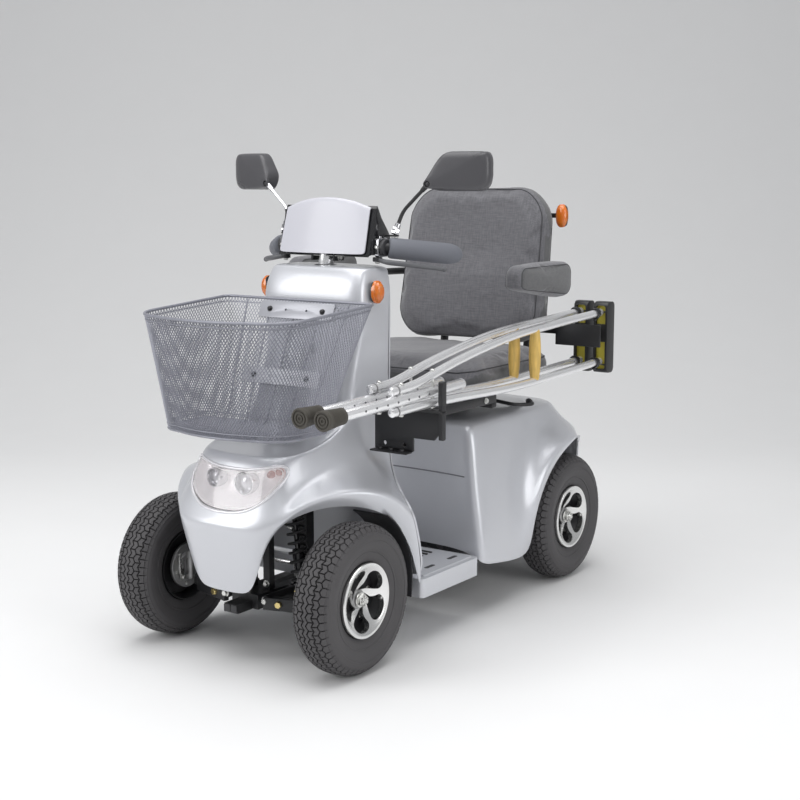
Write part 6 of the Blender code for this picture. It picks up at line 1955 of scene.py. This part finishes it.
def make_seat_frame():
    """Swivel plate, pan, back stays, arm bar and crutch hook of welded tube."""
    pieces = []
    pan = rounded_slab("seat_pan", (-0.15, 0.06, 0.4625), (0.15, 0.38, 0.4735), 0.03, 0.0025)
    pieces.append(painted(pan, BLACK_METAL_AND_BARREL_SHADE))
    plate_ring = turned("swivel_plate", [(0, 0), (0.08, 0), (0.0845, 0.001), (0.085, 0.0035),
                        (0.085, 0.0062), (0.079, 0.0075), (0.07, 0.018), (0, 0.018)],
                        (0, SEAT_AXIS_Y, 0.4447), (0, SEAT_AXIS_Y, 0.6), 64)
    pieces.append(painted(plate_ring, BLACK_METAL_AND_BARREL_SHADE))
    for index in range(8):
        turn = 2 * pi * (index + 0.5) / 8
        spot = Vector((0.066 * cos(turn), SEAT_AXIS_Y + 0.066 * sin(turn), 0.4449))
        pieces.append(painted(hex_bolt("swivel_bolt", spot + Vector((0, 0, 0.018)), (0, 0, 1), 0.01, 0.0042,
                              False), ZINC))
    for side in (-1, 1):
        stay = tube("back_stay", rounded_path([(side * 0.12, 0.345, 0.465), (side * 0.12, 0.4405, 0.465),
                                               (side * 0.12, 0.489, 0.876)], 0.032, 8), 0.01, 6)
        cap = rod("stay_cap", (side * 0.12, 0.4888, 0.8745), (side * 0.12, 0.4893, 0.879), 0.0106)
        gusset = plate("stay_gusset", [(0.372, 0.47), (0.4335, 0.47), (0.442, 0.54), (0.43, 0.49)],
                       0.004, "X", side * 0.12, 0.0005)
        pieces += [painted(stay, BLACK_METAL_AND_BARREL_SHADE), painted(cap, BLACK_PLASTIC), painted(gusset, BLACK_METAL_AND_BARREL_SHADE)]
        for z in (0.64, 0.8):
            spot = Vector((side * 0.12, 0.4405 + 0.0485 * (z - 0.465) / 0.411 + 0.0098, z))
            pieces.append(painted(hex_bolt("stay_bolt", spot, (0, 1, -0.12), 0.009, 0.004), ZINC))
        sleeve = rod("arm_socket", (side * 0.13, 0.4735, ARM_BAR_Z), (side * 0.16, 0.4735, ARM_BAR_Z),
                     0.0112)
        pieces.append(painted(sleeve, BLACK_METAL_AND_BARREL_SHADE))
        stalk = side_box("lamp_stalk", side, (0.115, 0.48, 0.8605), (0.208, 0.4846, 0.8715), 0.001)
        pieces.append(painted(stalk, BLACK_METAL_AND_BARREL_SHADE))
    corners = [(-0.246, 0.256, ARM_BAR_Z), (-0.246, 0.385, ARM_BAR_Z), (-0.205, 0.4735, ARM_BAR_Z),
               (0.205, 0.4735, ARM_BAR_Z), (0.246, 0.385, ARM_BAR_Z), (0.246, 0.256, ARM_BAR_Z)]
    arm_bar = tube("arm_bar", rounded_path(corners, 0.035, 8), 0.0085, 6)
    pieces.append(painted(arm_bar, BLACK_METAL_AND_BARREL_SHADE))
    for low, high in (((0.215, 0.4172, 0.564), (0.332, 0.4228, 0.616)),
                      ((0.11, 0.4922, 0.58), (0.222, 0.4978, 0.608)),
                      ((0.2163, 0.4172, 0.58), (0.2217, 0.4978, 0.608)),
                      ((0.113, 0.455, 0.581), (0.127, 0.4978, 0.607))):
        pieces.append(painted(box("hook", low, high, 0.001), BLACK_METAL_AND_BARREL_SHADE))
    for x in (0.14, 0.18):
        pieces.append(painted(hex_bolt("hook_bolt", (x, 0.4978, 0.594), (0, 1, 0), 0.01, 0.0045), ZINC))
    shown(joined("seat_frame_finish", pieces), "seat", ["seat_frame"], angle=40)


def make_post_and_lever():
    """Seat post and the swivel release lever with its knob."""
    post = turned("seat_post_finish", [(0, 0), (0.0205, 0), (0.022, 0.0015), (0.022, 0.23), (0.0205, 0.2385),
                                       (0, 0.2388)], (0, SEAT_AXIS_Y, 0.205), (0, SEAT_AXIS_Y, 0.6), 56)
    shown(post, "chassis", ["seat_post"], POLISHED)
    path = rounded_path([(0.158, 0.2, 0.456), (0.238, 0.19, 0.45), (0.262, 0.235, 0.448),
                         (0.225, 0.272, 0.448)], 0.018, 8)
    lever = tube("lever_rod", path, 0.0042, 6)
    start = Vector((0.235, 0.261, 0.448))
    end = Vector((0.225, 0.272, 0.448))
    knob = turned("lever_knob", [(0.0043, -0.012), (0.0062, -0.009), (0.0072, 0.0), (0.0068, 0.009),
                                 (0.0045, 0.015), (0, 0.016)], start, end, 32)
    pieces = [painted(lever, BLACK_METAL_AND_BARREL_SHADE), painted(knob, BLACK_PLASTIC)]
    shown(joined("seat_lever_finish", pieces), "swivel_lever", ["seat_lever"])


make_seat_cushion()
make_seat_back()
make_armrests()
make_seat_frame()
make_post_and_lever()


# ---------------------------------------------------------------- crutches and their carrier
def crutch_x(y, offset):
    """Plan position of a crutch's axis at a given Y."""
    (x0, y0), (x1, y1) = CRUTCH_INNER
    return x0 + (x1 - x0) * (y - y0) / (y1 - y0) + offset


def make_crutch(label, offset):
    """Aluminium crutch: leg, two bows with buttons, amber hand grip, ribbed foot and rear clips."""
    def spot(y, z):
        return Vector((crutch_x(y, offset), y, z))

    pieces = []
    leg_start, leg_end = spot(-0.545, 0.5285), spot(-0.135, 0.5429)
    run = (leg_end - leg_start).normalized()
    pieces.append(painted(rod("leg", leg_start, leg_end - run * 0.004, 0.011, steps=40), POLISHED))
    cap = turned("leg_cap", [(0.011, -0.006), (0.01115, -0.0055), (0.0111, -0.003), (0.01, 0.0002),
                             (0.007, 0.0022), (0, 0.003)], leg_end, leg_end + run, 40)
    pieces.append(painted(cap, CAP_WHITE))
    # Each adjuster hole is a thin dark disc on the leg: painted shade inside the hole.
    for k in range(8):
        for share in (0.0, 0.5):
            at = spot(-0.47 + 0.034 * k, 0.0)
            at.z = leg_start.z + (leg_end.z - leg_start.z) * (at.y - leg_start.y) / (leg_end.y - leg_start.y)
            side = 1 if share else -1
            pin = rod("leg_hole", at + Vector((side * 0.0102, 0, 0)), at + Vector((side * 0.0113, 0, 0)),
                      0.0024, edge=0.0003, steps=14)
            pieces.append(painted(pin, HOLE_SHADE))
    bows = ([(-0.375, 0.555), (-0.3, 0.5585), (-0.15, 0.593), (0.06, 0.625), (0.4475, 0.6435)],
            [(-0.375, 0.514), (-0.2, 0.518), (0.06, 0.511), (0.4475, 0.528)])
    upper, lower = [rounded_path([spot(y, z) for y, z in bow], 0.09, 8) for bow in bows]
    for sign, path in ((1, upper), (-1, lower)):
        pieces.append(painted(tube("bow", path, 0.009, 7), POLISHED))
        front, after = path[0], path[1]
        nose = turned("bow_end", [(0.009, 0.004), (0.0091, 0.001), (0.0086, -0.001), (0.007, -0.0018),
                                  (0, -0.002)], front, after, 32)
        pieces.append(painted(nose, POLISHED))
        band = turned("bow_band", [(0.009, 0.0), (0.0096, 0.0005), (0.0096, 0.003), (0.009, 0.0035)],
                      front + (after - front).normalized() * 0.012, after, 32)
        pieces.append(painted(band, RING_GREY))
        for y in BOW_BOLTS_Y:
            top = spot(y, height_on(path, y) + sign * 0.0085)
            button = turned("bow_button", [(0.0052, 0.0), (0.0052, 0.0014), (0.004, 0.0034),
                            (0.0018, 0.0042), (0, 0.0044)], top, top + Vector((0, 0, sign)), 24)
            pieces.append(painted(button, ZINC))
    for y in BOW_BOLTS_Y:
        bolt = rod("bow_bolt", spot(y, height_on(lower, y)), spot(y, height_on(upper, y)), 0.0034, steps=16)
        pieces.append(painted(bolt, ZINC))
    low, high = spot(0.152, 0.5175), spot(0.152, 0.629)
    length = (high - low).length
    profile = [(0, 0)]
    for k in range(25):
        share = k / 24
        swell = sin(pi * share) ** 0.62
        ring = 0.00035 if k in (3, 21) else 0.0
        profile.append((0.009 + 0.0042 * swell - ring, length * share))
    profile.append((0, length))
    pieces.append(painted(turned("hand_grip", profile, low, high, 40), WOOD_AMBER))
    foot_front, foot_back = spot(-0.585, 0.527), spot(-0.528, 0.5291)
    profile = [(0, 0.003), (0.003, 0.003), (0.0034, 0.0012), (0.0058, 0.0012), (0.0062, 0.0028),
               (0.0088, 0.0028), (0.0092, 0.0008), (0.0122, 0.0008), (0.0126, 0.0026), (0.0152, 0.0026),
               (0.0156, 0.0004), (0.0186, 0.0), (0.0195, 0.001), (0.0195, 0.0075), (0.0184, 0.009)]
    for k in range(11):
        at = 0.012 + k * 0.0036
        radius = 0.0186 - 0.0026 * k / 10
        profile += [(radius, at), (radius, at + 0.002), (radius - 0.0011, at + 0.0024),
                    (radius - 0.0011, at + 0.0032)]
    profile += [(0.016, 0.053), (0.016, 0.056), (0.0148, 0.0572), (0.0112, 0.0572)]
    foot = turned("crutch_foot", profile, foot_front, foot_back, 48)
    pieces.append(painted(foot, SOFT_RUBBER))
    for path in (upper, lower):
        at = spot(PAD_CLIP_Y, height_on(path, PAD_CLIP_Y))
        ahead = (path[-1] - path[-2]).normalized()
        clip = turned("pad_clip", [(0.0095, -0.0062), (0.0124, -0.0058), (0.013, -0.004), (0.013, 0.004),
                                   (0.0124, 0.0058), (0.0095, 0.0062)], at, at + ahead, 36)
        ridge = turned("pad_clip_ridge", [(0.0128, -0.0012), (0.0138, -0.0009), (0.0138, 0.0009),
                                          (0.0128, 0.0012)], at, at + ahead, 36)
        tab = box("pad_clip_tab", at + Vector((-0.0035, -0.006, -0.0165)),
                  at + Vector((0.0035, 0.006, -0.0115)), 0.0008)
        pieces += [painted(piece, BLACK_GLOSS) for piece in (clip, ridge, tab)]
    shown(joined(f"crutch_finish_{label}", pieces), f"stick_{label}", [f"crutch_{label}"],
          angle=40)

    x = crutch_x(0.465, offset)
    low, high = Vector((x - 0.0175, 0.4485, 0.5)), Vector((x + 0.0175, 0.486, 0.668))
    frame_box = rounded_slab("pad_frame", low, high, 0.012, 0.005, "X", 3)
    pocket = rounded_slab("pad_pocket", (low.x + 0.005, low.y - 0.02, low.z + 0.009),
                          (high.x - 0.005, low.y + 0.015, high.z - 0.009), 0.006, 0.0, "Y")
    frame_box = boolean(frame_box, [pocket])
    rib_pieces = [painted(frame_box, VINYL)]
    foam = rounded_slab("pad_foam", (low.x + 0.0053, low.y + 0.0075, low.z + 0.0093),
                        (high.x - 0.0053, low.y + 0.0148, high.z - 0.0093), 0.006, 0.0035, "Y", 3)
    rib_pieces.append(painted(foam, PAD_YELLOW))
    for z, tall in ((0.5735, 0.042), (0.518, 0.003), (0.643, 0.003)):
        cross = box("pad_cross", (low.x + 0.0035, low.y + 0.0012, z),
                    (high.x - 0.0035, low.y + 0.009, z + tall), 0.001)
        rib_pieces.append(painted(cross, VINYL))
    seam = tube("pad_seam", [(x, high.y - 0.0008 - 0.0026 * abs(k - 10) ** 4 / 10 ** 4,
                low.z + 0.006 + (high.z - low.z - 0.012) * k / 20) for k in range(21)], 0.001, 3)
    rib_pieces.append(painted(seam, VINYL))
    shown(joined(f"crutch_pad_finish_{label}", rib_pieces), f"stick_{label}",
          [f"crutch_pad_{label}"], angle=40)


def height_on(path, y):
    """Height of a path where it crosses a given Y."""
    for first, second in zip(path, path[1:]):
        if first.y <= y <= second.y and second.y > first.y:
            return first.z + (second.z - first.z) * (y - first.y) / (second.y - first.y)
    return path[-1].z


def make_carrier():
    """Crutch holder: pressed plate, wing knobs, upright post, cradle and the bar to the seat."""
    outline = [(0.156, 0.502), (0.3215, 0.502), (0.3215, 0.464), (0.3, 0.44), (0.25, 0.44),
               (0.25, 0.413), (0.243, 0.408), (0.16, 0.408), (0.156, 0.412)]
    face = plate("carrier_plate", outline, 0.0055, "Y", -0.235, 0.0008,
                 [circle((0.18, 0.424), 0.0045, 14), circle((0.228, 0.424), 0.0045, 14)])
    pieces = [painted(face, BLACK_METAL_AND_BARREL_SHADE)]
    foot = box("carrier_foot", (0.158, -0.26, 0.4085), (0.248, -0.2375, 0.412), 0.001)
    pieces.append(painted(foot, BLACK_METAL_AND_BARREL_SHADE))
    for x in (0.176, 0.203, 0.23):
        pieces.append(painted(hex_bolt("carrier_bolt", (x, -0.249, 0.412), (0, 0, 1), 0.009, 0.004),
                              BLACK_METAL_AND_BARREL_SHADE))
    bar = box("carrier_bar", (0.2385, -0.233, 0.4722), (0.2585, 0.075, 0.4918), 0.002)
    arm = box("carrier_arm", (0.1508, 0.0552, 0.4622), (0.2585, 0.075, 0.4738), 0.0014)
    post = rounded_slab("carrier_post", (0.314, -0.242, 0.442), (0.322, -0.228, 0.56), 0.0035, 0.0012, "X")
    sleeve = rounded_slab("post_sleeve", (0.3132, -0.2425, 0.512), (0.3228, -0.2275, 0.56), 0.0035, 0.0012,
                          "X")
    cradle = box("carrier_cradle", (0.22, -0.245, 0.4965), (0.322, -0.225, 0.5018), 0.0012)
    pieces += [painted(bar, BLACK_METAL_AND_BARREL_SHADE), painted(arm, BLACK_METAL_AND_BARREL_SHADE), painted(post, BLACK_METAL_AND_BARREL_SHADE),
               painted(sleeve, VINYL), painted(cradle, VINYL)]
    for x in (0.1655, 0.21):
        foot_at = Vector((x, -0.239, 0.498))
        stem = rod("knob_stem", foot_at + Vector((0, 0.006, 0)), foot_at + Vector((0, -0.01, 0)), 0.004,
                   steps=20)
        hub = turned("knob_hub", [(0.0058, 0.0), (0.0068, 0.001), (0.0062, 0.006), (0.0035, 0.0075),
                     (0, 0.0078)], foot_at + Vector((0, -0.003, 0)), foot_at + Vector((0, -1, 0)), 24)
        pieces += [painted(stem, ZINC), painted(hub, ALLOY)]
        for side in (-1, 1):
            wing = rounded_slab("knob_wing", (0.0035, -0.0014, -0.0042), (0.0138, 0.0014, 0.006), 0.0034,
                                0.001, "Y")
            wing.data.transform(Matrix.Translation(foot_at + Vector((0, -0.007, 0)))
                                @ Matrix.Rotation(pi / 2 - side * radians(62), 4, "Y")
                                @ Matrix.Rotation(radians(12), 4, "Z"))
            pieces.append(painted(wing, ALLOY))
    for y in (-0.15, 0.03):
        pieces.append(painted(hex_bolt("carrier_bar_bolt", (0.2585, y, 0.482), (1, 0, 0), 0.01, 0.0042),
                              ZINC))
    shown(joined("carrier_finish", pieces), "seat", ["crutch_carrier"], angle=40)


CAP_WHITE = look("white_end_cap", (0.72, 0.73, 0.75), 0.3, 0.6, spread=0.05, scale=40.0, grain=0.08)
RING_GREY = look("grey_collar", (0.22, 0.22, 0.22), 0.45, 0.4, spread=0.1, scale=40.0)
# Dark discs for the crutch's adjuster holes: painted shade inside the holes.
HOLE_SHADE = look("adjuster_hole_shade", (0.05, 0.05, 0.055), 0.5, spread=0.1, scale=60.0)

make_crutch("inner", 0.0)
make_crutch("outer", CRUTCH_SPACING)
make_carrier()


# ---------------------------------------------------------------- solids shown as they are
SLOT_LOOKS = {
    "silver_paint": SILVER, "black_metal": BLACK_METAL_AND_BARREL_SHADE, "black_plastic": BLACK_PLASTIC,
    "grey_plastic": GREY_GLOSS, "dark_grey_plastic": DARK_GREY, "grip_foam": FOAM, "tyre_rubber": RUBBER,
    "cast_alloy": DULL_ALLOY_AND_HUB_SHADE, "bright_tube": POLISHED, "basket_grey": BASKET_GREY, "seat_fabric": SEAT_CLOTH,
    "lens_clear": CLEAR, "lens_amber": AMBER, "pad_vinyl": VINYL,
}

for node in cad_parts.values():
    if not node.hide_render:
        painted(node, SLOT_LOOKS[node.data.materials[0].name.split(".")[0]])


# ---------------------------------------------------------------- floor, light and camera
def make_stage():
    """A pale sweep: floor, a long curve and a wall behind."""
    profile = [(-9.0, 0.0), (1.8, 0.0)]
    profile += [(1.8 + 3.2 * sin(turn), 3.2 - 3.2 * cos(turn))
                for turn in [pi / 2 * k / 24 for k in range(1, 25)]]
    profile.append((5.0, 9.0))
    points = []
    for y, z in profile:
        points += [(-12.0, y, z), (12.0, y, z)]
    faces = [(2 * k, 2 * k + 1, 2 * k + 3, 2 * k + 2) for k in range(len(profile) - 1)]
    sweep = from_lists("studio_sweep", points, faces)
    sweep.rotation_euler = (0, 0, CAMERA_TURN)
    painted(sweep, look("studio_paper", (0.84, 0.84, 0.84), 0.85, spread=0.01))
    sweep.data.shade_smooth()


def lamp(name, where, towards, size, power):
    """A soft rectangular studio light."""
    data = bpy.data.lights.new(name, "AREA")
    data.shape = "RECTANGLE"
    data.size, data.size_y = size
    data.energy = power
    made = place(name, data)
    made.matrix_world = (Matrix.Translation(Vector(where))
                         @ (Vector(towards) - Vector(where)).to_track_quat("-Z", "Y").to_matrix().to_4x4())


CAMERA_TURN = 0.604
CAMERA_TILT = 0.156
CAMERA_PLACE = Vector((1.84, -2.588, 0.964))
CAMERA_LENS = 64.6  # millimetres, with a 36 mm sensor

make_stage()
SCENE.view_settings.view_transform = "Standard"
lamp("overhead", (0.1, -0.5, 3.2), (0, 0, 0.3), (3.2, 3.2), 84)
lamp("left_front", (-2.0, -3.2, 1.9), (0, 0, 0.4), (1.8, 2.4), 50)
lamp("right_fill", (3.4, -0.4, 1.5), (0, 0, 0.4), (1.6, 2.2), 30)

world = bpy.data.worlds.new("studio_air")
world.use_nodes = True
world.node_tree.nodes["Background"].inputs["Color"].default_value = (0.85, 0.86, 0.88, 1)
world.node_tree.nodes["Background"].inputs["Strength"].default_value = 0.46
SCENE.world = world

camera_data = bpy.data.cameras.new("camera")
camera_data.lens = CAMERA_LENS
camera_data.sensor_width = 36.0
camera = place("camera", camera_data)
forward = Vector((-sin(CAMERA_TURN) * cos(CAMERA_TILT), cos(CAMERA_TURN) * cos(CAMERA_TILT),
                  -sin(CAMERA_TILT)))
camera_turn = forward.to_track_quat("-Z", "Y").to_matrix().to_4x4()
camera.matrix_world = Matrix.Translation(CAMERA_PLACE) @ camera_turn
SCENE.camera = camera
